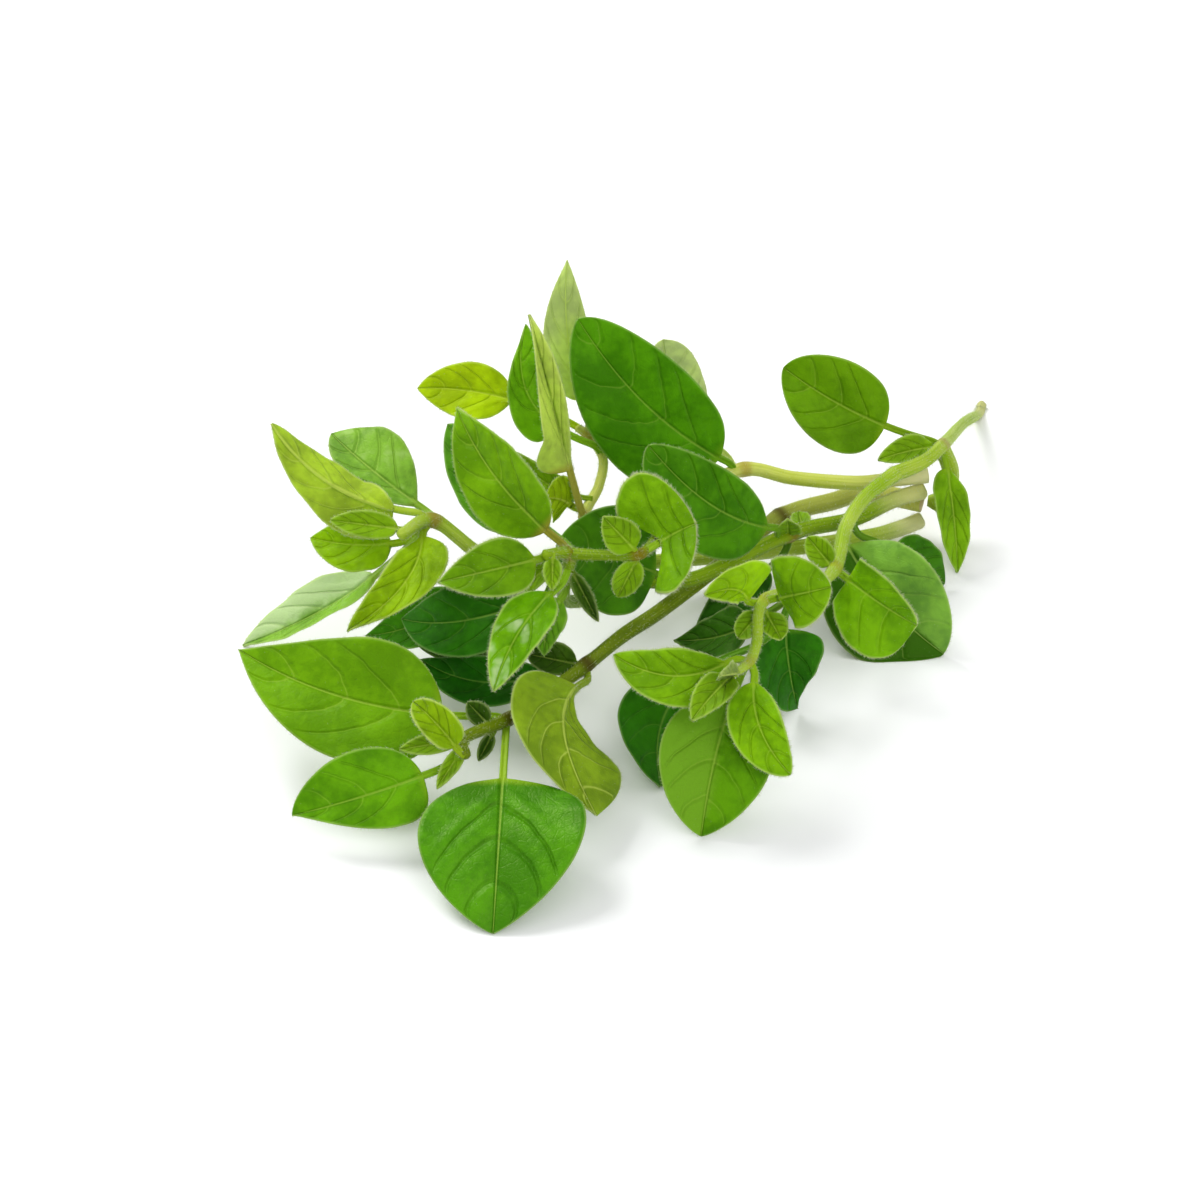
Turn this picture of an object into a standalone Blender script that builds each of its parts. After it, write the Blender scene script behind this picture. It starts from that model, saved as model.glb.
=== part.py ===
"""Oregano sprig: one cut, branched stem that lies on its side, with its shoots, leaves and small leaves.

Lengths below are in millimetres. X runs to the right, Y away from the viewer and Z up, with the surface
that the sprig lies on at Z = 0. Every leaf is one closed blade with its petiole. Every side stem is one
solid with the small leaves of its nodes.
"""

import math

import bpy
import numpy as np

MM = 0.001
BLADE_THICKNESS = 0.6
PETIOLE_WIDTH = 1.3
PETIOLE_THICKNESS = 1.0
SMALL_PETIOLE_WIDTH = 0.9
STEM_RADIUS = 1.15
STEM_SIDES = 8
STEM_STEPS = 3
NODE_SWELLING = 1.18
JOINT_GAP = 0.75
LEAF_CLEARANCE = STEM_RADIUS * NODE_SWELLING + JOINT_GAP
STALK_LIMIT = 0.05
FOLD_RISE = 4
LOBE_START = 0.08
LOBE_RISE = 6
REST_LEVEL = 0.0
LARGE_LEAF_STATIONS = (0.0, 0.10, 0.26, 0.44, 0.62, 0.78, 0.91, 1.0)
SMALL_LEAF_STATIONS = (0.0, 0.2, 0.5, 0.8, 1.0)
LARGE_LEAF_LANES = (-1.0, -0.55, 0.0, 0.55, 1.0)
SMALL_LEAF_LANES = (-1.0, 0.0, 1.0)
OUTLINE_BASE_POWER = 0.5
OUTLINE_TIP_POWER = 0.85
TIP_HALF_WIDTH = 0.3
LEAF_ROUGHNESS = 0.45
STEM_ROUGHNESS = 0.5

# Middle of the sprig's own box on the surface, so that the origin is under the middle of the whole.
ORIGIN_X = 4.5
ORIGIN_Y = 5.4

GREEN_FRESH = (0.150, 0.330, 0.020)
GREEN_MIDDLE = (0.095, 0.270, 0.018)
GREEN_DEEP = (0.045, 0.180, 0.012)
GREEN_SHADE = (0.020, 0.110, 0.010)
GREEN_YELLOW = (0.270, 0.440, 0.015)
GREEN_BLUISH = (0.130, 0.330, 0.090)
GREEN_UNDERSIDE = (0.240, 0.380, 0.110)
STEM_PALE = (0.400, 0.480, 0.130)
STEM_OLIVE = (0.200, 0.220, 0.030)

for old in list(bpy.data.objects):
    bpy.data.objects.remove(old, do_unlink=True)


def unit(vector):
    """The vector at length one."""
    vector = np.asarray(vector, float)
    return vector / np.linalg.norm(vector)


def material(colour, roughness):
    """A plain material for one colour of leaf or stem, made once and shared."""
    name = "plant_%03d_%03d_%03d" % tuple(int(round(part * 1000)) for part in colour)
    found = bpy.data.materials.get(name)
    if found:
        return found
    made = bpy.data.materials.new(name)
    made.use_nodes = True
    shader = made.node_tree.nodes["Principled BSDF"]
    shader.inputs["Base Color"].default_value = (*colour, 1.0)
    shader.inputs["Roughness"].default_value = roughness
    shader.inputs["Metallic"].default_value = 0.0
    return made


def add_solid(name, points, faces, colour, roughness):
    """One closed solid as an object, its points moved so that the origin is under the sprig's middle."""
    moved = [((x - ORIGIN_X) * MM, (y - ORIGIN_Y) * MM, max(z, REST_LEVEL) * MM) for x, y, z in points]
    mesh = bpy.data.meshes.new(name)
    mesh.from_pydata(moved, [], faces)
    mesh.validate()
    mesh.update()
    for face in mesh.polygons:
        face.use_smooth = True
    solid = bpy.data.objects.new(name, mesh)
    bpy.context.scene.collection.objects.link(solid)
    mesh.materials.append(material(colour, roughness))
    return solid


def smooth_path(points, steps):
    """A rounded path through the given points, with the given number of steps between two of them."""
    points = [np.asarray(point, float) for point in points]
    padded = [2 * points[0] - points[1]] + points + [2 * points[-1] - points[-2]]
    path = []
    for start in range(len(points) - 1):
        a, b, c, d = padded[start:start + 4]
        for step in range(steps):
            t = step / steps
            path.append(0.5 * (2 * b + (c - a) * t + (2 * a - 5 * b + 4 * c - d) * t * t
                               + (3 * b - a - 3 * c + d) * t ** 3))
    path.append(points[-1])
    return np.array(path)


def tube(path, radii, sides):
    """Points and triangles of a closed round tube along a path."""
    tangents = np.gradient(path, axis=0)
    side = unit(np.cross(tangents[0], (0.0, 0.3, 1.0)))
    points = []
    for centre, tangent, radius in zip(path, tangents, radii):
        tangent = unit(tangent)
        side = unit(side - tangent * np.dot(side, tangent))
        other = np.cross(tangent, side)
        for corner in range(sides):
            angle = 2 * math.pi * (corner + 0.5) / sides
            points.append(centre + radius * (math.cos(angle) * side + math.sin(angle) * other))
    faces = []
    for ring in range(len(path) - 1):
        for corner in range(sides):
            a = ring * sides + corner
            b = ring * sides + (corner + 1) % sides
            faces.append((a, b, b + sides))
            faces.append((a, b + sides, a + sides))
    faces.append(tuple(reversed(range(sides))))
    faces.append(tuple(range((len(path) - 1) * sides, len(path) * sides)))
    return points, faces


def half_width(blade, powers):
    """Half of a blade's width at one share of its length, where the widest place counts as one.

    It is the product of two powers of the way along the blade, one for each end.
    """
    base_power, tip_power = powers
    peak = base_power / (base_power + tip_power)
    return blade ** base_power * (1 - blade) ** tip_power / (peak ** base_power * (1 - peak) ** tip_power)


def leaf_sheet(root, tip, face, width, arch, folds, sweep, twist, petiole, stalk_width, outline, stations,
               lanes):
    """The middle surface of one leaf as rows of points from its root to its tip, and its rows of stalk.

    face is the side that the upper surface looks to. arch lifts the middle of the midrib to that side and
    sweep moves it to the leaf's right. folds raise the left and right half in degrees, twist turns the tip.
    outline holds the powers of the left and of the right half, the share by which the right half is the
    wider one, and how far the lobes of a heart-shaped base reach back.
    """
    root = np.asarray(root, float)
    run = np.asarray(tip, float) - root
    along = unit(run)
    upper = np.asarray(face, float)
    upper = unit(upper - along * np.dot(upper, along))
    right = np.cross(along, upper)
    left_powers, right_powers, lean, shoulder = outline
    steps = [0.0, 0.6 * petiole] if petiole > STALK_LIMIT else [0.0]
    steps += [petiole + (1 - petiole) * part for part in stations]
    rows = []
    for step in steps:
        bulge = 4 * step * (1 - step)
        centre = root + run * step + bulge * (arch * upper + sweep * right)
        tangent = unit(run + 4 * (1 - 2 * step) * (arch * upper + sweep * right))
        turn = math.radians(twist) * step
        up = unit(upper - tangent * np.dot(upper, tangent))
        flat = np.cross(tangent, up)
        up, flat = (up * math.cos(turn) + flat * math.sin(turn), flat * math.cos(turn) - up * math.sin(turn))
        blade = max(0.0, (step - petiole) / (1 - petiole))
        least = 0.5 * stalk_width if blade < 0.5 else TIP_HALF_WIDTH
        halves = [max(least, 0.5 * width * (1 - lean) * half_width(blade, left_powers)),
                  max(least, 0.5 * width * (1 + lean) * half_width(blade, right_powers))]
        lifts = [math.radians(fold) * min(1.0, FOLD_RISE * blade) for fold in folds]
        back = shoulder * (1 - blade) * min(1.0, LOBE_START + LOBE_RISE * blade) * tangent
        row = []
        for lane in lanes:
            hand = 0 if lane < 0 else 1
            lift = lifts[hand]
            across = lane * math.cos(lift) * flat + abs(lane) * math.sin(lift) * up
            row.append(centre + halves[hand] * across - abs(lane) * back)
        rows.append(row)
    return np.array(rows), len(steps) - len(stations)


def leaf_solid(rows, stalk_rows, thickness, stalk_thickness):
    """Points and triangles of a closed blade around a leaf's middle surface."""
    count, width = rows.shape[:2]
    down = np.gradient(rows, axis=0)
    across = np.gradient(rows, axis=1)
    normals = np.cross(across, down)
    normals /= np.linalg.norm(normals, axis=2, keepdims=True)
    midrib = normals[:, width // 2:width // 2 + 1]
    normals *= np.where(np.sum(normals * midrib, axis=2, keepdims=True) < 0, -1, 1)
    normals[:stalk_rows + 1] = midrib[:stalk_rows + 1]
    half = np.full((count, 1, 1), 0.5 * thickness)
    half[:stalk_rows + 1] = 0.5 * stalk_thickness
    upper = (rows + normals * half).reshape(-1, 3)
    lower = (rows - normals * half).reshape(-1, 3)
    points = list(upper) + list(lower)
    under = len(upper)
    faces = []
    for row in range(count - 1):
        for lane in range(width - 1):
            a = row * width + lane
            b = a + 1
            c = b + width
            d = a + width
            if lane < (width - 1) / 2:
                faces += [(a, b, d), (b, c, d)]
                faces += [(under + a, under + d, under + b), (under + b, under + d, under + c)]
            else:
                faces += [(a, b, c), (a, c, d)]
                faces += [(under + a, under + c, under + b), (under + a, under + d, under + c)]
    rim = list(range(width))
    rim += [row * width + width - 1 for row in range(1, count)]
    rim += [(count - 1) * width + lane for lane in range(width - 2, -1, -1)]
    rim += [row * width for row in range(count - 2, 0, -1)]
    for here, there in zip(rim, rim[1:] + rim[:1]):
        faces += [(there, here, under + here), (there, under + here, under + there)]
    return points, faces


def leaf(name, root, tip, face, width, colour, arch=0.0, folds=(12, 12), sweep=0.0, twist=0.0, petiole=0.12,
         clear=LEAF_CLEARANCE, powers=(OUTLINE_BASE_POWER, OUTLINE_TIP_POWER), right_powers=None, lean=0.0,
         shoulder=0.0):
    """One large leaf as a solid of its own, its petiole ending just clear of the stem."""
    start = np.asarray(root, float) + clear * unit(np.asarray(tip, float) - np.asarray(root, float))
    outline = (powers, right_powers or powers, lean, shoulder)
    rows, stalk_rows = leaf_sheet(start, tip, face, width, arch, folds, sweep, twist, petiole, PETIOLE_WIDTH,
                                  outline, LARGE_LEAF_STATIONS, LARGE_LEAF_LANES)
    points, faces = leaf_solid(rows, stalk_rows, BLADE_THICKNESS, PETIOLE_THICKNESS)
    return add_solid(name, points, faces, colour, LEAF_ROUGHNESS)


def small_leaf(root, tip, face, width, arch=0.0, folds=(20, 20), sweep=0.0, petiole=0.15,
               powers=(0.5, 0.75)):
    """Points and triangles of a small leaf that is grown together with its stem."""
    rows, stalk_rows = leaf_sheet(root, tip, face, width, arch, folds, sweep, 0.0, petiole,
                                  SMALL_PETIOLE_WIDTH, (powers, powers, 0.0, 0.0), SMALL_LEAF_STATIONS,
                                  SMALL_LEAF_LANES)
    return leaf_solid(rows, stalk_rows, BLADE_THICKNESS, BLADE_THICKNESS)


def stem(points, radius, tip_radius, nodes=()):
    """Points and triangles of a stem, swollen at the numbered points where its leaves stand."""
    path = smooth_path(points, STEM_STEPS)
    radii = np.linspace(radius, tip_radius, len(path))
    for node in nodes:
        radii[node * STEM_STEPS] *= NODE_SWELLING
    return tube(path, radii, STEM_SIDES)


def fuse(name, pieces, colour):
    """Joins the first piece and all the others into one solid."""
    body = add_solid(name, *pieces[0], colour, STEM_ROUGHNESS)
    group = bpy.data.collections.new(name + "_pieces")
    bpy.context.scene.collection.children.link(group)
    for number, (points, faces) in enumerate(pieces[1:]):
        piece = add_solid("%s_piece_%02d" % (name, number), points, faces, colour, STEM_ROUGHNESS)
        bpy.context.scene.collection.objects.unlink(piece)
        group.objects.link(piece)
    union = body.modifiers.new("union", "BOOLEAN")
    union.operation = "UNION"
    union.solver = "MANIFOLD"
    union.operand_type = "COLLECTION"
    union.collection = group
    bpy.context.view_layer.update()
    shape = bpy.data.meshes.new_from_object(body.evaluated_get(bpy.context.evaluated_depsgraph_get()))
    body.modifiers.clear()
    body.data = shape
    for piece in list(group.objects):
        bpy.data.objects.remove(piece, do_unlink=True)
    bpy.data.collections.remove(group)
    return body


# Base stem: from the cut end at the back right over its node to the place where the side stems part.
BASE_NODE = (48, 32.5, 14)
CROWN = (49, 31, 6.5)
fuse("stem_base", [
    stem([(57.3, 62.5, 0.5), (56.5, 59.8, 0.5), (52.7, 47.6, 7.3), BASE_NODE, (45, 28, 14.5), (42, 26, 14.5)],
         0.62, 1.1, nodes=(3,)),
    stem([BASE_NODE, (49.5, 32, 10), CROWN, (47, 30.5, 5.5)], 1.1, 1.3),
    small_leaf(BASE_NODE, (38.7, 27.8, 15), (0.1, -0.5, 0.85), 4.6, arch=0.8),
], STEM_PALE)
leaf("leaf_base_left", BASE_NODE, (25.6, 36.7, 24.5), (0, -0.88, 0.47), 12.6, GREEN_MIDDLE, arch=1.7,
     sweep=-1, petiole=0.29, powers=(0.43, 0.7), right_powers=(0.44, 0.54))
leaf("leaf_base_drooping", (48.3, 31.6, 14.2), (50.2, 21.5, 0), (0.41, -0.67, 0.62), 5.8, GREEN_MIDDLE,
     arch=2.1, sweep=0.9, petiole=0.05, powers=(0.61, 0.88), right_powers=(0.48, 0.92), lean=0.1)

# Right stem: leaves the base node towards the viewer, carries the two right-hand pairs and the near tip.
RIGHT_NODE = (31.2, 2.1, 15.5)
fuse("stem_right", [
    stem([(41, 25.3, 14.5), (39, 23, 14.5), (36, 19, 14.5), (33.3, 12.4, 14.6), RIGHT_NODE, (27, -5.7, 18.3),
          (21, -13, 22), (20, -19, 20), (19, -20.5, 18), (17, -23, 18)], 1.15, 0.5, nodes=(4, 6, 8)),
    small_leaf(RIGHT_NODE, (27.6, 4.7, 19), (0, -0.8, 0.6), 3.8, powers=(0.45, 0.6)),
    small_leaf((21, -14, 21.5), (17.7, -17.5, 19.5), (-0.3, -0.7, 0.6), 3.6, powers=(0.45, 0.45)),
    small_leaf((21, -14, 21.5), (23.1, -17.8, 19.5), (0.3, -0.7, 0.6), 3.8, powers=(0.45, 0.45)),
    small_leaf((17.5, -22.5, 18), (11.5, -31.0, 17), (-0.2, -0.5, 0.85), 5.0, arch=0.8),
    small_leaf((17.5, -22.5, 18), (15.0, -28.0, 22), (-0.5, -0.6, 0.6), 3.0),
], STEM_PALE)
leaf("leaf_right_front", RIGHT_NODE, (42.2, -2.4, 9.7), (-0.21, -0.91, 0.35), 11.1, GREEN_FRESH, arch=1.3,
     sweep=-0.1, folds=(16, 12), petiole=0.04, clear=1.9, powers=(0.3, 0.7), right_powers=(0.66, 0.33),
     lean=0.29, shoulder=2.2)
leaf("leaf_right_bluish", (32, 14.5, 13), (46.8, 3, 0.4), (0, -0.76, 0.65), 17, GREEN_BLUISH, arch=1.5,
     sweep=1.4, folds=(25, 0), twist=10, petiole=0.04, powers=(0.59, 0.64))
leaf("leaf_right_far", (35, 16.5, 11), (48, 17.8, 1), (0.59, -0.49, 0.64), 7.5, GREEN_SHADE, arch=1.1,
     sweep=-0.2, petiole=0.3, powers=(0.5, 0.7))
leaf("leaf_near_upper_left", (21, -13, 22), (13.2, -17.3, 26.3), (0.55, -0.82, 0.17), 6.9, GREEN_FRESH,
     arch=0.9, sweep=1.5, folds=(12, 20), petiole=0.03, clear=2.8, powers=(0.56, 0.65),
     right_powers=(0.4, 0.84), lean=0.48)
leaf("leaf_near_upper_right", (21, -13, 22), (29.4, -15.1, 26), (-0.16, -0.91, 0.38), 10.2, GREEN_FRESH,
     arch=1.1, sweep=-0.2, folds=(14, 18), petiole=0.03, clear=2.4, powers=(0.43, 0.67),
     right_powers=(0.42, 0.68), lean=-0.15)
leaf("leaf_near_lower_left", (19, -20.5, 18), (1.7, -20.2, 18.9), (-0.06, -0.55, 0.83), 8.2, GREEN_FRESH,
     arch=1.6, sweep=-2.9, petiole=0.05, clear=2.3, powers=(0.45, 0.88), right_powers=(0.55, 0.67),
     lean=-0.13)
leaf("leaf_near_lower_right", (19, -20.5, 18), (24.1, -31.7, 8.7), (-0.04, -0.76, 0.64), 7, GREEN_FRESH,
     arch=2.1, sweep=1.6, petiole=0.06, powers=(0.56, 0.67), right_powers=(0.54, 0.72), lean=0.11)
leaf("leaf_near_table", (18.5, -18, 16), (12.9, -34, 0.3), (0, -0.7, 0.72), 14.7, GREEN_MIDDLE, arch=2.2,
     sweep=0.7, petiole=0.18, powers=(0.52, 0.78))
leaf("leaf_near_dark_left", (20, -8, 12), (7.8, -24.5, 0.4), (-0.26, -0.43, 0.87), 12.6, GREEN_SHADE,
     arch=0, sweep=5, folds=(-15, 15), twist=-40, petiole=0.4, powers=(0.58, 0.78))
leaf("leaf_near_dark_right", (24, -5, 14), (26.3, -9.2, 0.9), (0.37, -0.88, 0.3), 11.4, GREEN_SHADE, arch=2,
     sweep=1.1, folds=(14, 22), petiole=0.03, powers=(0.31, 1.39), right_powers=(0.34, 0.92), lean=0.09)
leaf("leaf_near_dark_back", (22, -5.4, 13), (9.9, -0.4, 5.4), (-0.58, -0.22, 0.78), 8.1, GREEN_SHADE,
     arch=-1, sweep=-0.4, petiole=0.1, powers=(0.43, 1.05))

# Front stem: the thickest, runs under the heap to the front left, where its pairs stand close together.
FRONT_NODE = (-2, -11.5, 10)
FRONT_TIP_NODE = (-12, -22.5, 10)
fuse("stem_front", [
    stem([(45.5, 29.8, 6.2), (38, 32.4, 6), (33, 30, 6.3), (25, 25, 7), (16, 13, 7.5), (8, 2, 8.5),
          (3, -4.5, 9.5), FRONT_NODE, (-8, -18.5, 10), FRONT_TIP_NODE, (-17.2, -28.2, 11.8),
          (-17, -31.2, 11.4)], 1.35, 0.7, nodes=(3, 7, 9)),
    small_leaf(FRONT_NODE, (-9.5, -11.5, 12), (0, -0.6, 0.8), 4.8, powers=(0.45, 0.5)),
    small_leaf((-14.0, -25, 11), (-17.0, -22.5, 13), (0, -0.6, 0.8), 3.2),
    small_leaf((-17, -28, 11.5), (-25.5, -28.8, 10.4), (0, -0.6, 0.8), 3.0),
    small_leaf((-16.8, -28.5, 11.5), (-20.6, -33.6, 8.0), (-0.3, -0.8, 0.5), 2.4),
    small_leaf((-13.5, -24.5, 10), (-15.6, -26.5, 6.5), (0, -0.8, 0.6), 2.0),
], STEM_OLIVE)
leaf("leaf_front_hanging", FRONT_NODE, (-0.6, -35.9, 5.6), (-0.4, 0.18, -0.9), 15, GREEN_UNDERSIDE,
     arch=-2.6, sweep=-5, folds=(-10, 25), twist=20, petiole=0.12, clear=2.7, powers=(0.47, 1.03),
     right_powers=(1.5, 0.38), lean=0.04)
leaf("leaf_front_back", (-2.6, -11, 9.4), (-23.9, -5.4, 6.2), (-0.32, -0.58, 0.75), 7, GREEN_SHADE,
     arch=0.6, sweep=-2.8, petiole=0.12, powers=(0.64, 0.82))
leaf("leaf_front_left", FRONT_TIP_NODE, (-47.2, -11.5, 12.8), (-0.12, -0.58, 0.8), 17, GREEN_MIDDLE,
     arch=1.9, sweep=-3, petiole=0.17, powers=(0.52, 1.03))
leaf("leaf_front_broad", FRONT_TIP_NODE, (-13.2, -51.8, 0.2), (0.02, -0.31, 0.95), 21.2, GREEN_DEEP,
     arch=2.8, sweep=-0.1, folds=(12, 0), petiole=0.28, powers=(0.44, 0.84), right_powers=(0.52, 0.76),
     lean=-0.04)
leaf("leaf_front_lower_left", (-18.2, -30.2, 9.1), (-39, -34.4, 4.2), (-0.11, -0.73, 0.67), 11.2,
     GREEN_MIDDLE, arch=1, sweep=-0.4, petiole=0.08, clear=3, powers=(0.35, 1.18), right_powers=(0.5, 0.66),
     lean=0.06)
leaf("leaf_front_curled", (-17, -31.6, 11.6), (-23.6, -26.3, 16.2), (-0.09, -0.71, 0.69), 4.9,
     GREEN_UNDERSIDE, arch=1.1, sweep=0.3, folds=(25, 17), petiole=0.03, clear=1.6, powers=(0.46, 0.6),
     right_powers=(0.38, 0.67), lean=0.06)

# Left stem: rises over the front stem to the back left.
LEFT_TIP = (-22, 3, 23)
fuse("stem_left", [
    stem([(45.5, 30, 2.9), (42, 28, 2.8), (37, 25.5, 3.2), (22, 21, 4), (8, 17, 5.5), (-2, 10.5, 9.5),
          (-8, 4, 14), (-15, 0, 19), LEFT_TIP, (-26, -1.5, 24)], 1.15, 0.8, nodes=(5, 8)),
    small_leaf((-25, -0.5, 24), (-35.5, 1.4, 24.2), (0, -0.7, 0.7), 4.0),
], STEM_PALE)
leaf("leaf_left_tall", (-22.6, 2.4, 23.4), (-43.3, 9.9, 33.7), (0.31, 0.95, -0.07), 9.1, GREEN_YELLOW,
     arch=-1, sweep=2.5, folds=(80, -15), twist=5, petiole=0.12, powers=(0.51, 0.61),
     right_powers=(0.27, 1), lean=0.22)
leaf("leaf_left_bluish", (-22, 5.5, 21.5), (-36.3, 18.6, 25.9), (0.3, -0.6, 0.74), 9.5, GREEN_BLUISH,
     arch=1.1, sweep=-0.8, petiole=0.05, clear=2.4, powers=(0.75, 0.79), right_powers=(0.86, 0.8),
     lean=0.25)
leaf("leaf_left_pale", (-25.2, 2.8, 19.2), (-38.7, 5.8, 18), (-0.17, -0.53, 0.83), 8.4, GREEN_YELLOW,
     arch=0.3, sweep=-0.7, petiole=0.05, powers=(0.49, 0.89))
leaf("leaf_left_glossy", (-24, 2.5, 20), (-48.8, 5, 0.2), (-0.59, -0.38, 0.72), 7.7, GREEN_BLUISH,
     arch=-1.7, sweep=-0.5, folds=(30, 30), twist=6, petiole=0.23, powers=(0.69, 0.96),
     right_powers=(0.69, 0.83), lean=0.09)
leaf("leaf_left_facing", LEFT_TIP, (-32.9, -11.1, 15.5), (-0.03, -0.44, 0.9), 7.3, GREEN_YELLOW, arch=2.8,
     sweep=-3.2, folds=(10, 25), petiole=0.04, clear=2.4, powers=(0.46, 1.32), right_powers=(0.62, 0.74),
     lean=-0.12)
leaf("leaf_left_low", (-13, 0.4, 16), (-31.5, -0.4, 6.2), (-0.39, -0.44, 0.81), 8, GREEN_SHADE, arch=0.9,
     sweep=-2.3, petiole=0.14, powers=(0.58, 0.95))
leaf("leaf_left_inner", (-5, 4.5, 11), (-24.7, -3.8, 7.8), (0.01, -0.62, 0.79), 5.1, GREEN_DEEP,
     arch=-1.4, sweep=-4.4, folds=(30, 5), petiole=0.35, powers=(0.63, 0.84))

# Middle stem: over the front and left stems to the highest crown of young leaves.
MIDDLE_NODE = (-4, -9.5, 27)
SIDE_SHOOT_NODE = (5, -11, 28)
fuse("stem_middle", [
    stem([(45.5, 29.2, 8.7), (41, 27, 8.6), (35, 22, 9), (26, 16, 11), (13, 5.5, 11.5), (5, 4.5, 11.5),
          (-1, 1, 11.5), (-4.6, -5, 16), (-4.3, -9.3, 23.5), MIDDLE_NODE, (-7, -12.5, 29)],
         1.15, 0.7, nodes=(3, 9)),
    stem([MIDDLE_NODE, (0, -10.5, 27.5), SIDE_SHOOT_NODE, (7, -9, 29)], 0.8, 0.5, nodes=(2,)),
    small_leaf((-6, -12, 29), (-6.1, -15.9, 26), (0, -0.8, 0.5), 2.6),
    small_leaf((-5, -11, 28), (-11.3, -13.2, 22.5), (-0.3, -0.7, 0.6), 3.0),
    small_leaf(SIDE_SHOOT_NODE, (0.4, -10.2, 33.4), (0, -0.8, 0.5), 5.0),
    small_leaf(SIDE_SHOOT_NODE, (2.3, -9.6, 20), (0, -0.9, 0.3), 4.0),
    small_leaf((-4, -9.4, 25), (-0.2, -13, 18.6), (0, -0.9, 0.3), 2.4),
    small_leaf((25.8, 15.5, 10.7), (25.5, 13.7, 15.2), (0, -0.95, 0.2), 4.0, powers=(0.5, 0.6)),
    small_leaf((28, 17.8, 10.4), (27.6, 23.2, 9.4), (0, -0.6, 0.8), 3.0),
], STEM_OLIVE)
leaf("leaf_middle_tall", MIDDLE_NODE, (-18.5, 4.9, 39.8), (-0.43, -0.8, 0.41), 10.6, GREEN_FRESH,
     arch=1.9, sweep=-0.7, petiole=0.09, powers=(0.6, 1))
leaf("leaf_middle_tall_back", (-3.5, -6.5, 25), (-20, 9, 34.3), (-0.38, -0.74, 0.55), 10.9, GREEN_DEEP,
     arch=1.5, sweep=-0.5, petiole=0.16, powers=(0.54, 0.84))
leaf("leaf_middle_left", (-6, -12, 28.5), (-20.6, -15.3, 26.8), (0.07, -0.69, 0.72), 7.7, GREEN_FRESH,
     arch=1.9, sweep=-0.3, petiole=0.03, powers=(0.52, 0.97))
leaf("leaf_middle_down", (-4.5, -11.5, 25), (-13.5, -24.3, 16.2), (-0.13, -0.49, 0.86), 6.9, GREEN_MIDDLE,
     arch=2.2, sweep=0.5, petiole=0.08, powers=(0.51, 0.87))
leaf("leaf_middle_low", (-4.4, -8.2, 20.2), (-26.3, -2.9, 11.1), (-0.42, -0.62, 0.66), 10.2, GREEN_SHADE,
     arch=2.5, sweep=-2.3, petiole=0.12, powers=(0.55, 0.84))
leaf("leaf_middle_under", (-4.3, -8.9, 22), (-7.2, -13.9, 13.6), (0.16, -0.88, 0.45), 4.3, GREEN_SHADE,
     arch=0.7, sweep=0.9, petiole=0.05, powers=(0.51, 0.92))
leaf("leaf_side_round", (5.6, -10.4, 28.2), (12.2, -9.7, 31.9), (-0.31, -0.65, 0.69), 17, GREEN_FRESH,
     arch=0.1, sweep=-0.1, folds=(20, 20), petiole=0.03, clear=2.6, powers=(0.66, 0.57),
     right_powers=(0.58, 0.71), lean=-0.07, shoulder=5.1)

# Top stem: leaves the others at the right and ends in the upright leaves at the back.
TOP_LOW_NODE = (-2, 13.5, 15.5)
TOP_NODE = (-1.6, 23.4, 22.2)
fuse("stem_top", [
    stem([(46, 29.5, 11.2), (42, 29, 11), (36, 27.5, 11.3), (27, 27, 12.5), (20, 27, 14), (12, 22, 13.5),
          (4, 16.5, 13.5), TOP_LOW_NODE, (-0.2, 18.8, 17), (0.4, 22, 19.4), TOP_NODE, (-3.1, 24, 23.2)],
         1.1, 0.5, nodes=(4, 7, 10)),
    small_leaf((-1, 16, 17), (-11.4, 19.9, 22), (0, -0.8, 0.6), 4.0, sweep=-1.5),
], STEM_PALE)
leaf("leaf_top_pale", (-1.4, 24, 22.6), (-4.4, 33.1, 44.4), (0.08, -0.91, 0.4), 6.6, GREEN_UNDERSIDE,
     arch=0, sweep=-1.3, petiole=0.11, powers=(0.55, 1.03), right_powers=(0.72, 0.92), lean=-0.11)
leaf("leaf_top_folded", (-2.3, 12.9, 15.9), (-9.5, 25.6, 40.6), (0.06, -0.88, 0.47), 7, GREEN_UNDERSIDE,
     arch=0.5, sweep=-0.1, folds=(60, 26), petiole=0.18, powers=(0.35, 1.58), right_powers=(1.07, 0.91),
     lean=-0.36)
leaf("leaf_top_dark", (-0.5, 20.8, 20.6), (-10.1, 30.1, 36.1), (-0.37, -0.84, 0.4), 7.6, GREEN_DEEP,
     arch=1.6, sweep=-3.9, twist=10, petiole=0.22, powers=(0.29, 1.58), right_powers=(0.57, 0.68),
     lean=-0.04)
leaf("leaf_top_left", (-2, 24.2, 23.2), (-25.4, 33.5, 23.2), (-0.24, -0.72, 0.65), 8.2, GREEN_YELLOW,
     arch=0.2, sweep=1.4, petiole=0.4, powers=(0.61, 0.84), right_powers=(0.59, 0.86))
leaf("leaf_top_large", (19, 26.2, 14.3), (-3, 26.8, 39.1), (0.17, -0.95, 0.24), 16.4, GREEN_DEEP, arch=2,
     sweep=-1.8, petiole=0.05, powers=(0.43, 0.72), right_powers=(0.52, 0.58), lean=-0.1)
leaf("leaf_top_behind", (18, 28, 14), (8.7, 35.3, 30.1), (0.18, -0.86, 0.49), 8.6, GREEN_BLUISH, arch=0.5,
     sweep=-2.1, petiole=0.17, powers=(0.47, 0.59), right_powers=(0.63, 0.41), lean=0.04)
leaf("leaf_top_low", (-1.4, 14.8, 15.9), (-7.2, 14.4, 18.3), (0.1, -0.8, 0.6), 6.6, GREEN_UNDERSIDE,
     arch=0.3, sweep=0.3, folds=(0, 5), petiole=0.05, clear=2.9, powers=(0.64, 0.96),
     right_powers=(0.71, 0.72))

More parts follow.
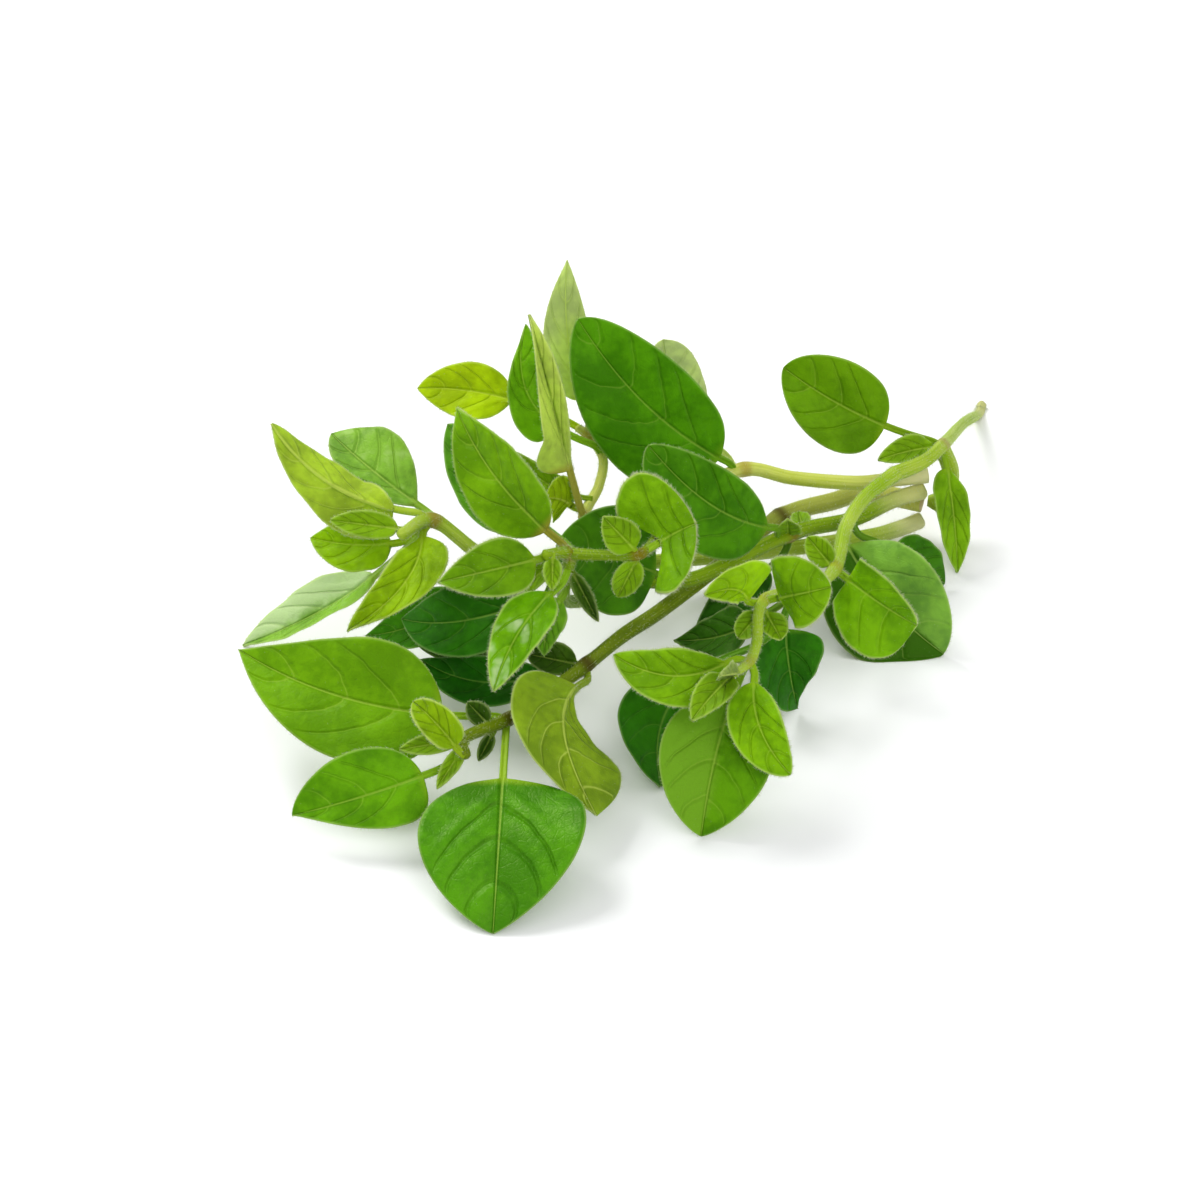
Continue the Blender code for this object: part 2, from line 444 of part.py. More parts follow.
# Leaves in the middle of the heap, on the nodes of the stems that pass below them.
leaf("leaf_heap_large", (25.3, 13.7, 12.6), (6.4, 10.5, 29.8), (0.42, -0.83, 0.37), 11.8, GREEN_DEEP,
     arch=2.4, sweep=-2.3, petiole=0.07, powers=(0.54, 0.6), right_powers=(0.59, 0.65), lean=-0.13)

leaf("leaf_heap_dark", (10.4, 5, 11.4), (-5.7, 0, 21.2), (-0.1, -0.6, 0.8), 15.4, GREEN_SHADE, arch=0.9,
     sweep=0.2, folds=(8, 8), petiole=0.06, clear=3, powers=(0.5, 0.5), right_powers=(0.45, 0.7),
     lean=-0.05)
leaf("leaf_heap_dark_right", (26, 16.2, 8), (12.7, 4.8, 1.6), (0, -0.5, 0.85), 6, GREEN_SHADE, arch=0.3)
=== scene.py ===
"""Oregano sprig: one cut, branched stem lying on a white surface, with its leaves, veins and fine hairs."""

import itertools
import math

import bpy
import numpy as np
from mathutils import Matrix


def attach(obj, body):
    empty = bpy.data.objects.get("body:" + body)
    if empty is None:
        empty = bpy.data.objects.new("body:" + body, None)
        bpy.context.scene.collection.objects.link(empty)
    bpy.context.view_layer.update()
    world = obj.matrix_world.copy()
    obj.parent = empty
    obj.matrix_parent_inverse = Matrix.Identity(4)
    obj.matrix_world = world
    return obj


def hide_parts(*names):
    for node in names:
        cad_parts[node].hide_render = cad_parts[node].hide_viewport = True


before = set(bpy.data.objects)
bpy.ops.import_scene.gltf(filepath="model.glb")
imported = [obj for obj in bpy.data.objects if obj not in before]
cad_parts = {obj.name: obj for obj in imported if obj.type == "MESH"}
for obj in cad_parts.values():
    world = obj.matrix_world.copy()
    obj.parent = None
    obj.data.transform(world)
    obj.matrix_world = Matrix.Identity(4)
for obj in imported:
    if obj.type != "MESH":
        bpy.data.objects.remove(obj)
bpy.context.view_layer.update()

# Camera: stands in front of the sprig and looks down on it at 38 degrees, from 45 cm away, with a long lens.
# Places below are in millimetres on the photographed surface. ORIGIN is the part's own origin there.
MM = 0.001
ORIGIN = np.array((4.5, 5.4, 0.0))
VIEW_ELEVATION = math.radians(38.0)
VIEW_DISTANCE = 450.0
VIEW_TARGET = np.array((0.0, 0.0, 12.0))
towards_eye = np.array((0.0, -math.cos(VIEW_ELEVATION), math.sin(VIEW_ELEVATION)))
lens = bpy.data.cameras.new("photo_camera")
lens.sensor_width = 36.0
lens.lens = 101.25
lens.clip_start = 0.01
lens.clip_end = 20.0
camera = bpy.data.objects.new("photo_camera", lens)
camera.location = (VIEW_TARGET + VIEW_DISTANCE * towards_eye - ORIGIN) * MM
camera.rotation_euler = (math.pi / 2 - VIEW_ELEVATION, 0.0, 0.0)
bpy.context.scene.collection.objects.link(camera)
bpy.context.scene.camera = camera


# Surface and light: a white matt board, a bright white room, and a broad lamp behind and to the left.
# The lamp shines through the upper leaves and throws their soft shadow to the front right.
def wire(tree, socket, value):
    """Sets a socket from a number or colour, or links it to another node's output."""
    if isinstance(value, bpy.types.NodeSocket):
        tree.links.new(value, socket)
    else:
        socket.default_value = value


def calc(tree, operation, *values):
    """One step of arithmetic in a material."""
    node = tree.nodes.new("ShaderNodeMath")
    node.operation = operation
    for socket, value in zip(node.inputs, values):
        wire(tree, socket, value)
    return node.outputs[0]


def times(tree, first, second):
    """A product in a material."""
    return calc(tree, "MULTIPLY", first, second)


def plus(tree, first, second):
    """A sum in a material."""
    return calc(tree, "ADD", first, second)


def minus(tree, first, second):
    """A difference in a material."""
    return calc(tree, "SUBTRACT", first, second)


def blend(tree, share, first, second):
    """A colour between two colours."""
    node = tree.nodes.new("ShaderNodeMix")
    node.data_type = "RGBA"
    wire(tree, node.inputs[0], share)
    wire(tree, node.inputs[6], first)
    wire(tree, node.inputs[7], second)
    return node.outputs[2]


def ramp(tree, value, low, high, from_value=0.0, to_value=1.0):
    """A smooth change from one value to another between two limits."""
    node = tree.nodes.new("ShaderNodeMapRange")
    node.interpolation_type = "SMOOTHSTEP"
    wire(tree, node.inputs[0], value)
    for socket, number in zip(node.inputs[1:5], (low, high, from_value, to_value)):
        socket.default_value = number
    return node.outputs[0]


def noise(tree, place, scale, detail=2.0):
    """Soft patches at a scale given per metre."""
    node = tree.nodes.new("ShaderNodeTexNoise")
    tree.links.new(place, node.inputs["Vector"])
    node.inputs["Scale"].default_value = scale
    node.inputs["Detail"].default_value = detail
    return node.outputs["Fac"]


def paint(red, green, blue):
    """A colour given as it is seen on a screen, for a shader socket."""
    return (*(((part / 255 + 0.055) / 1.055) ** 2.4 if part > 10 else part / 3294.6 for part in (red, green, blue)),
            1.0)


def new_material(name):
    """An empty node material with its Principled shader and output."""
    made = bpy.data.materials.new(name)
    made.use_nodes = True
    tree = made.node_tree
    return made, tree, tree.nodes["Principled BSDF"], tree.nodes["Material Output"]


board_finish, tree, shader, _ = new_material("white_board")
place = tree.nodes.new("ShaderNodeTexCoord").outputs["Object"]
shader.inputs["Roughness"].default_value = 0.8
shader.inputs["Specular IOR Level"].default_value = 0.1
wire(tree, shader.inputs["Base Color"],
     blend(tree, noise(tree, place, 40.0), paint(246, 247, 248), paint(250, 250, 251)))
sheet = bpy.data.meshes.new("board")
sheet.from_pydata([(-3, -3, 0), (3, -3, 0), (3, 3, 0), (-3, 3, 0)], [], [(0, 1, 2, 3)])
sheet.materials.append(board_finish)
board = bpy.data.objects.new("board", sheet)
bpy.context.scene.collection.objects.link(board)

room = bpy.data.worlds.new("white_room")
room.use_nodes = True
room.node_tree.nodes["Background"].inputs["Color"].default_value = (1.0, 1.0, 1.0, 1.0)
room.node_tree.nodes["Background"].inputs["Strength"].default_value = 0.74
bpy.context.scene.world = room
bpy.context.scene.view_settings.view_transform = "Standard"


def lamp(name, place, size, power):
    """A square soft lamp that looks at the middle of the sprig."""
    light = bpy.data.lights.new(name, "AREA")
    light.shape = "SQUARE"
    light.size = size
    light.energy = power
    holder = bpy.data.objects.new(name, light)
    holder.location = place
    aim = np.array((0.0, 0.0, 0.012)) - np.array(place)
    holder.rotation_euler = (math.acos(-aim[2] / np.linalg.norm(aim)), 0.0, math.atan2(aim[1], aim[0]) - math.pi / 2)
    bpy.context.scene.collection.objects.link(holder)


lamp("lamp_behind_left", (-0.40, 0.36, 0.62), 0.36, 4.2)
lamp("lamp_front", (0.3, -0.62, 0.62), 0.6, 2.4)


# Stems: square, juicy stems with rounded corners, thicker at the nodes where the leaves stand. They are pale
# green to olive with reddish brown nodes, and covered with short white hairs. Each carries its smallest leaves.
class Piece:
    """The points, faces and surface coordinates that one visible piece is put together from."""

    def __init__(self):
        self.points, self.faces, self.kinds, self.share, self.width = [], [], [], [], []
        self.count = 0

    def add(self, points, faces, kind, share, width):
        """Adds a shape whose faces all have one finish."""
        self.points.append(np.asarray(points, float))
        self.share.append(np.asarray(share, float))
        self.width.append(np.asarray(width, float))
        self.faces += (np.asarray(faces) + self.count).tolist()
        self.kinds += [kind] * len(faces)
        self.count += len(points)

    def build(self, name, node, finishes):
        """Makes the object, which stands for one node of the solid model."""
        points = np.concatenate(self.points)
        mesh = bpy.data.meshes.new(name)
        mesh.from_pydata(((points - ORIGIN) * MM).tolist(), [], self.faces)
        corners = np.zeros(len(mesh.loops), int)
        mesh.loops.foreach_get("vertex_index", corners)
        for title, values in (("share", self.share), ("width", self.width)):
            layer = mesh.uv_layers.new(name=title)
            layer.uv.foreach_set("vector", np.concatenate(values)[corners].ravel())
        for finish in finishes:
            mesh.materials.append(finish)
        mesh.polygons.foreach_set("material_index", self.kinds)
        mesh.polygons.foreach_set("use_smooth", [True] * len(mesh.polygons))
        mesh.validate()
        piece = bpy.data.objects.new(name, mesh)
        bpy.context.scene.collection.objects.link(piece)
        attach(piece, "root")
        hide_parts(node)
        return piece


def unit(vectors):
    """Vectors at length one."""
    vectors = np.asarray(vectors, float)
    return vectors / np.maximum(np.linalg.norm(vectors, axis=-1, keepdims=True), 1e-9)


def hairs(piece, roots, directions, lengths, thickness, kind):
    """Fine three-sided spikes, one per root, that stay above the surface below the sprig."""
    directions = unit(directions)
    side = unit(np.cross(directions, (0.31, 0.52, 0.79)))
    other = np.cross(directions, side)
    count = len(roots)
    corners = [roots + thickness * (math.cos(turn) * side + math.sin(turn) * other)
               for turn in (0.0, 2 * math.pi / 3, 4 * math.pi / 3)]
    points = np.concatenate(corners + [roots + directions * np.asarray(lengths)[:, None]])
    points[:, 2] = np.maximum(points[:, 2], 0.02)
    ids = np.arange(count)
    faces = np.concatenate([np.stack([ids + a * count, ids + b * count, ids + 3 * count], axis=1)
                            for a, b in ((0, 1), (1, 2), (2, 0))])
    piece.add(points, faces, kind, np.zeros((len(points), 2)), np.zeros((len(points), 2)))


def smooth_path(points, steps):
    """A rounded path through the given points."""
    points = [np.asarray(point, float) for point in points]
    padded = [2 * points[0] - points[1]] + points + [2 * points[-1] - points[-2]]
    path = []
    for start in range(len(points) - 1):
        a, b, c, d = padded[start:start + 4]
        for step in range(steps):
            t = step / steps
            path.append(0.5 * (2 * b + (c - a) * t + (2 * a - 5 * b + 4 * c - d) * t * t
                               + (3 * b - a - 3 * c + d) * t ** 3))
    path.append(points[-1])
    return np.array(path)


def strips(rows, lanes, closed=False):
    """The four-sided faces of a grid of points, row by row."""
    row, lane = np.meshgrid(np.arange(rows - 1), np.arange(lanes if closed else lanes - 1), indexing="ij")
    a = row * lanes + lane
    b = row * lanes + (lane + 1) % lanes
    return np.stack([a, b, b + lanes, a + lanes], axis=-1).reshape(-1, 4)


stem_axes = []


def stem(piece, points, radius, tip_radius, nodes=(), steps=12, sides=20, fuzz=5.0, cut=True):
    """One stem: a rounded square tube with shallow grooves, swollen nodes and hairs.

    cut tells whether its first end is a cut one; the others grow out of another stem.
    """
    chance = np.random.default_rng(len(stem_axes) + 11)
    path = smooth_path(points, steps)
    stem_axes.append(path)
    radii = np.linspace(radius, tip_radius, len(path))
    along = np.concatenate([[0.0], np.cumsum(np.linalg.norm(np.diff(path, axis=0), axis=1))])
    closeness = np.zeros(len(path))
    for node in nodes:
        closeness = np.maximum(closeness, np.exp(-((along - along[node * steps]) / 1.2) ** 2))
    radii = radii * (1 + 0.2 * closeness)
    tangents = unit(np.gradient(path, axis=0))
    side = unit(np.cross(tangents[0], (0.0, 0.3, 1.0)))
    points, normals, share, width = [], [], [], []
    for centre, tangent, reach, distance, near in zip(path, tangents, radii, along, closeness):
        side = unit(side - tangent * np.dot(side, tangent))
        other = np.cross(tangent, side)
        for corner in range(sides):
            turn = 2 * math.pi * corner / sides
            outward = math.cos(turn) * side + math.sin(turn) * other
            square = 1 + 0.07 * math.cos(4 * turn) - 0.02 * math.cos(8 * turn)
            points.append(centre + reach * square * outward)
            normals.append(outward)
            share.append((corner / sides, distance / 100.0 if cut else 0.8 + distance / 1000.0))
            width.append((near, reach / 4.0))
    points, normals = np.array(points), np.array(normals)
    points[:, 2] = np.maximum(points[:, 2], 0.03)
    count = len(points)
    ends = np.array([path[0] - 0.12 * tangents[0], path[-1] + 0.6 * radii[-1] * tangents[-1]])
    ends[:, 2] = np.maximum(ends[:, 2], 0.03)
    points = np.concatenate([points, ends])
    share += [(0.5, 0.0 if cut else 0.8), (0.5, along[-1] / 100.0 if cut else 0.9)]
    width += [(0.0, 0.0), (0.0, 0.0)]
    piece.add(points, strips(len(path), sides, closed=True), 0, share, width)
    first = piece.count - count - 2
    for corner in range(sides):
        after = (corner + 1) % sides
        piece.faces.append([first + corner, first + count, first + after])
        piece.faces.append([first + count - sides + after, first + count + 1, first + count - sides + corner])
    piece.kinds += [3 if cut else 0, 0] * sides
    number = int(fuzz * along[-1] * 2 * math.pi * radii.mean())
    picks = chance.integers(0, count, number)
    shift = chance.random((number, 1))
    following = np.minimum(picks + sides, count - 1)
    roots = points[picks] * (1 - shift) + points[following] * shift
    leaning = normals[picks] + 0.45 * chance.normal(size=(number, 3))
    hairs(piece, roots, leaning, chance.uniform(0.2, 0.6, number), 0.02, 4)


def let_through(tree, shader, output, colour, amount):
    """Adds the share of light that shines through the tissue in the given colour."""
    glow = tree.nodes.new("ShaderNodeBsdfTranslucent")
    wire(tree, glow.inputs["Color"], colour)
    mix = tree.nodes.new("ShaderNodeMixShader")
    mix.inputs[0].default_value = amount
    tree.links.new(shader.outputs[0], mix.inputs[1])
    tree.links.new(glow.outputs[0], mix.inputs[2])
    tree.links.new(mix.outputs[0], output.inputs["Surface"])


def stem_finish(name, pale, deep, node_colour, cut_colour, fade=12.0):
    """The finish of a stem: streaks along it, a brown tint at the nodes, paler towards the cut end, fine grooves.

    fade is the length in millimetres over which the cut end's colour gives way to the stem's own.
    """
    made, tree, shader, output = new_material(name)
    place = tree.nodes.new("ShaderNodeTexCoord").outputs["Object"]
    share = tree.nodes.new("ShaderNodeUVMap")
    share.uv_map = "share"
    width = tree.nodes.new("ShaderNodeUVMap")
    width.uv_map = "width"
    stretch = tree.nodes.new("ShaderNodeMapping")
    stretch.inputs["Scale"].default_value = (14.0, 6.0, 1.0)
    tree.links.new(share.outputs[0], stretch.inputs["Vector"])
    streaks = noise(tree, stretch.outputs[0], 1.6, 4.0)
    patches = noise(tree, place, 160.0, 3.0)
    parts = tree.nodes.new("ShaderNodeSeparateXYZ")
    tree.links.new(width.outputs[0], parts.inputs[0])
    way = tree.nodes.new("ShaderNodeSeparateXYZ")
    tree.links.new(share.outputs[0], way.inputs[0])
    colour = blend(tree, ramp(tree, plus(tree, streaks, times(tree, patches, 0.7)), 0.55, 1.15),
                   pale, deep)
    colour = blend(tree, ramp(tree, plus(tree, way.outputs[1], times(tree, patches, 0.03)),
                              0.02, fade / 100.0, 0.9, 0.0), colour, cut_colour)
    node_share = plus(tree, parts.outputs[0], times(tree, patches, 0.3))
    node_share = times(tree, ramp(tree, node_share, 0.3, 1.2), 0.8)
    colour = blend(tree, node_share, colour, node_colour)
    wire(tree, shader.inputs["Base Color"], colour)
    wire(tree, shader.inputs["Roughness"], ramp(tree, streaks, 0.3, 0.7, 0.38, 0.55))
    shader.inputs["Specular IOR Level"].default_value = 0.25
    shader.inputs["Specular Tint"].default_value = (1.0, 1.0, 0.5, 1.0)
    bump = tree.nodes.new("ShaderNodeBump")
    bump.inputs["Strength"].default_value = 0.5
    bump.inputs["Distance"].default_value = 0.00025
    grain = times(tree, noise(tree, place, 2200.0), 0.35)
    wire(tree, bump.inputs["Height"], plus(tree, streaks, grain))
    tree.links.new(bump.outputs[0], shader.inputs["Normal"])
    let_through(tree, shader, output, colour, 0.12)
    return made


def hair_finish():
    """The finish of the fine hairs: nearly white, slightly green in places."""
    made, tree, shader, output = new_material("plant_hair")
    place = tree.nodes.new("ShaderNodeTexCoord").outputs["Object"]
    colour = blend(tree, noise(tree, place, 900.0), paint(206, 220, 158), paint(240, 246, 214))
    wire(tree, shader.inputs["Base Color"], colour)
    shader.inputs["Roughness"].default_value = 0.45
    shader.inputs["Specular IOR Level"].default_value = 0.3
    let_through(tree, shader, output, colour, 0.4)
    return made


# The side veins: how sharply they bend to the tip, how they crowd there, and how far one half's run ahead.
VEIN_BEND, VEIN_CROWDING, VEIN_STAGGER = 1.8, 0.85, 0.012
# The surface coordinates: where the blade starts along the leaf, and the widths in millimetres that count as one.
BLADE_START, WIDTH_UNIT = 0.1, 40.0


def vein_group():
    """The leaf's network, from its surface coordinates: midrib, side veins, fine net, margin and relief."""
    group = bpy.data.node_groups.new("leaf_veins", "ShaderNodeTree")
    for title, kind in (("Share", "NodeSocketVector"), ("Width", "NodeSocketVector"), ("Place", "NodeSocketVector"),
                        ("Pairs", "NodeSocketFloat"), ("Slant", "NodeSocketFloat"), ("Vein Width", "NodeSocketFloat")):
        group.interface.new_socket(name=title, in_out="INPUT", socket_type=kind)
    for title in ("Midrib", "Side Veins", "Net", "Margin", "Relief", "Across", "Along"):
        group.interface.new_socket(name=title, in_out="OUTPUT", socket_type="NodeSocketFloat")
    given = group.nodes.new("NodeGroupInput").outputs
    result = group.nodes.new("NodeGroupOutput").inputs
    share = group.nodes.new("ShaderNodeSeparateXYZ")
    group.links.new(given["Share"], share.inputs[0])
    width = group.nodes.new("ShaderNodeSeparateXYZ")
    group.links.new(given["Width"], width.inputs[0])
    across = minus(group, share.outputs[0], 0.5)
    lane = times(group, calc(group, "ABSOLUTE", across), 2.0)
    blade = calc(group, "DIVIDE", minus(group, share.outputs[1], BLADE_START), 1 - BLADE_START)
    crooked = times(group, minus(group, noise(group, given["Place"], 420.0, 1.0), 0.5), 0.05)
    curve = times(group, calc(group, "POWER", lane, VEIN_BEND), given["Slant"])
    curve = times(group, curve, minus(group, 1.15, blade))
    start = plus(group, minus(group, blade, curve), crooked)
    start = plus(group, start, times(group, calc(group, "SIGN", across), VEIN_STAGGER))
    order = calc(group, "POWER", calc(group, "MAXIMUM", start, 0.0), VEIN_CROWDING)
    order = times(group, order, given["Pairs"])
    off = calc(group, "ABSOLUTE", minus(group, calc(group, "FRACT", plus(group, order, 0.5)), 0.5))
    taper = times(group, given["Vein Width"], minus(group, 1.25, lane))
    near = minus(group, 1.0, calc(group, "DIVIDE", off, taper))
    shown = times(group, ramp(group, start, 0.0, 0.05), ramp(group, lane, 0.97, 0.8))
    side_veins = times(group, ramp(group, near, 0.0, 1.0), shown)
    valley = times(group, ramp(group, off, 0.15, 0.0), shown)
    inward = calc(group, "ABSOLUTE", minus(group, width.outputs[0], 0.5))
    inward = times(group, inward, WIDTH_UNIT)
    rib = minus(group, 0.26, times(group, blade, 0.18))
    midrib = ramp(group, calc(group, "DIVIDE", inward, rib), 1.0, 0.45)
    groove = ramp(group, calc(group, "DIVIDE", inward, rib), 2.6, 0.0)
    cells = group.nodes.new("ShaderNodeTexVoronoi")
    cells.feature = "DISTANCE_TO_EDGE"
    cells.inputs["Scale"].default_value = 780.0
    group.links.new(given["Place"], cells.inputs["Vector"])
    net = ramp(group, cells.outputs["Distance"], 0.11, 0.0)
    to_margin = minus(group, times(group, width.outputs[1], WIDTH_UNIT / 2), inward)
    margin = ramp(group, to_margin, 0.36, 0.02)
    relief = plus(group, times(group, valley, -0.7), times(group, groove, -0.8))
    relief = plus(group, relief, times(group, net, -0.06))
    for title, value in (("Midrib", midrib), ("Side Veins", side_veins), ("Net", net), ("Margin", margin),
                         ("Relief", relief), ("Across", share.outputs[0]), ("Along", blade)):
        group.links.new(value, result[title])
    return group


veins = vein_group()


def mixed(first, second, share):
    """A screen colour part of the way from one to another."""
    return tuple(a + (b - a) * share for a, b in zip(first, second))


def leaf_finish(name, colour, under=False, pairs=4.0, slant=0.75, rough=0.5, shine=0.2, through=0.25, vein_share=None,
                rim=0.45, contrast=0.16, second=None, patches=None, relief=0.0004, side_vein=None, stalk_colour=None):
    """The finish of one face of a leaf: mottled green, paler veins and margin, fine grain and a satin gloss.

    under is for the lower face, where the veins stand out. second holds another colour, the surface direction in
    which it takes over and the two places between which it does so. patches holds the colour and the share of
    painted highlights: bright glossy blotches painted into the colour. side_vein and stalk_colour are for side
    veins and a petiole with colours of their own.
    """
    made, tree, shader, output = new_material(name)
    place = tree.nodes.new("ShaderNodeTexCoord").outputs["Object"]
    network = tree.nodes.new("ShaderNodeGroup")
    network.node_tree = veins
    for title in ("share", "width"):
        source = tree.nodes.new("ShaderNodeUVMap")
        source.uv_map = title
        tree.links.new(source.outputs[0], network.inputs[title.capitalize()])
    tree.links.new(place, network.inputs["Place"])
    network.inputs["Pairs"].default_value = pairs
    network.inputs["Slant"].default_value = slant
    network.inputs["Vein Width"].default_value = 0.045 if under else 0.03
    if vein_share is None:
        vein_share = 0.6 if under else 0.3
    fine_mottle = times(tree, noise(tree, place, 900.0), 0.3)
    mottle = plus(tree, times(tree, noise(tree, place, 150.0, 3.0), 0.7), fine_mottle)
    mottle = ramp(tree, mottle, 0.36, 0.64)
    tint = blend(tree, mottle, paint(*mixed(colour, (0, 0, 0), contrast)),
                 paint(*mixed(colour, (255, 255, 60), 0.6 * contrast)))
    if second:
        other, direction, low, high = second
        shift = plus(tree, network.outputs[direction], times(tree, mottle, 0.12))
        tint = blend(tree, ramp(tree, shift, low, high), tint, paint(*other))
    # Painted highlights: pale glossy blotches painted into the colour, fewer in the sunken veins.
    if patches:
        painted_highlight_colour, amount = patches
        painted_highlight_spots = times(tree, network.outputs["Relief"], 0.25)
        painted_highlight_spots = plus(tree, noise(tree, place, 300.0), painted_highlight_spots)
        painted_highlight_spots = times(tree, ramp(tree, painted_highlight_spots, 0.68 - 0.4 * amount, 0.92 - 0.4 * amount), 0.75)
        tint = blend(tree, painted_highlight_spots, tint, paint(*painted_highlight_colour))
    vein = paint(*mixed(colour, (216, 226, 120), 0.6))
    tint = blend(tree, times(tree, network.outputs["Side Veins"], vein_share), tint,
                 paint(*side_vein) if side_vein else vein)
    tint = blend(tree, times(tree, network.outputs["Midrib"], min(0.9, 1.6 * vein_share)), tint, vein)
    tint = blend(tree, times(tree, network.outputs["Margin"], rim), tint,
                 paint(*mixed(colour, (236, 242, 176), 0.65)))
    tint = blend(tree, ramp(tree, network.outputs["Along"], 0.07, 0.0, 0.0, 0.85), tint,
                 paint(*(stalk_colour or mixed(colour, (176, 192, 50), 0.45))))
    wire(tree, shader.inputs["Base Color"], tint)
    grain = noise(tree, place, 3200.0)
    wire(tree, shader.inputs["Roughness"], ramp(tree, grain, 0.35, 0.65, rough - 0.08, rough + 0.1))
    shader.inputs["Specular IOR Level"].default_value = shine
    shader.inputs["Specular Tint"].default_value = (0.9, 1.0, 0.35, 1.0)
    shader.inputs["Sheen Weight"].default_value = 0.03
    shader.inputs["Sheen Roughness"].default_value = 0.4
    shader.inputs["Sheen Tint"].default_value = (0.85, 1.0, 0.5, 1.0)
    bump = tree.nodes.new("ShaderNodeBump")
    bump.inputs["Strength"].default_value = 0.7
    bump.inputs["Distance"].default_value = relief
    bump.invert = under
    wire(tree, bump.inputs["Height"], plus(tree, network.outputs["Relief"], times(tree, grain, 0.18)))
    tree.links.new(bump.outputs[0], shader.inputs["Normal"])
    let_through(tree, shader, output, blend(tree, 0.35, tint, paint(180, 225, 20)), through)
    return made


def half_width(share, powers):
    """Half of a blade's width along its length, where the widest place counts as one."""
    base_power, tip_power = powers
    peak = base_power / (base_power + tip_power)
    return share ** base_power * (1 - share) ** tip_power / (peak ** base_power * (1 - peak) ** tip_power)


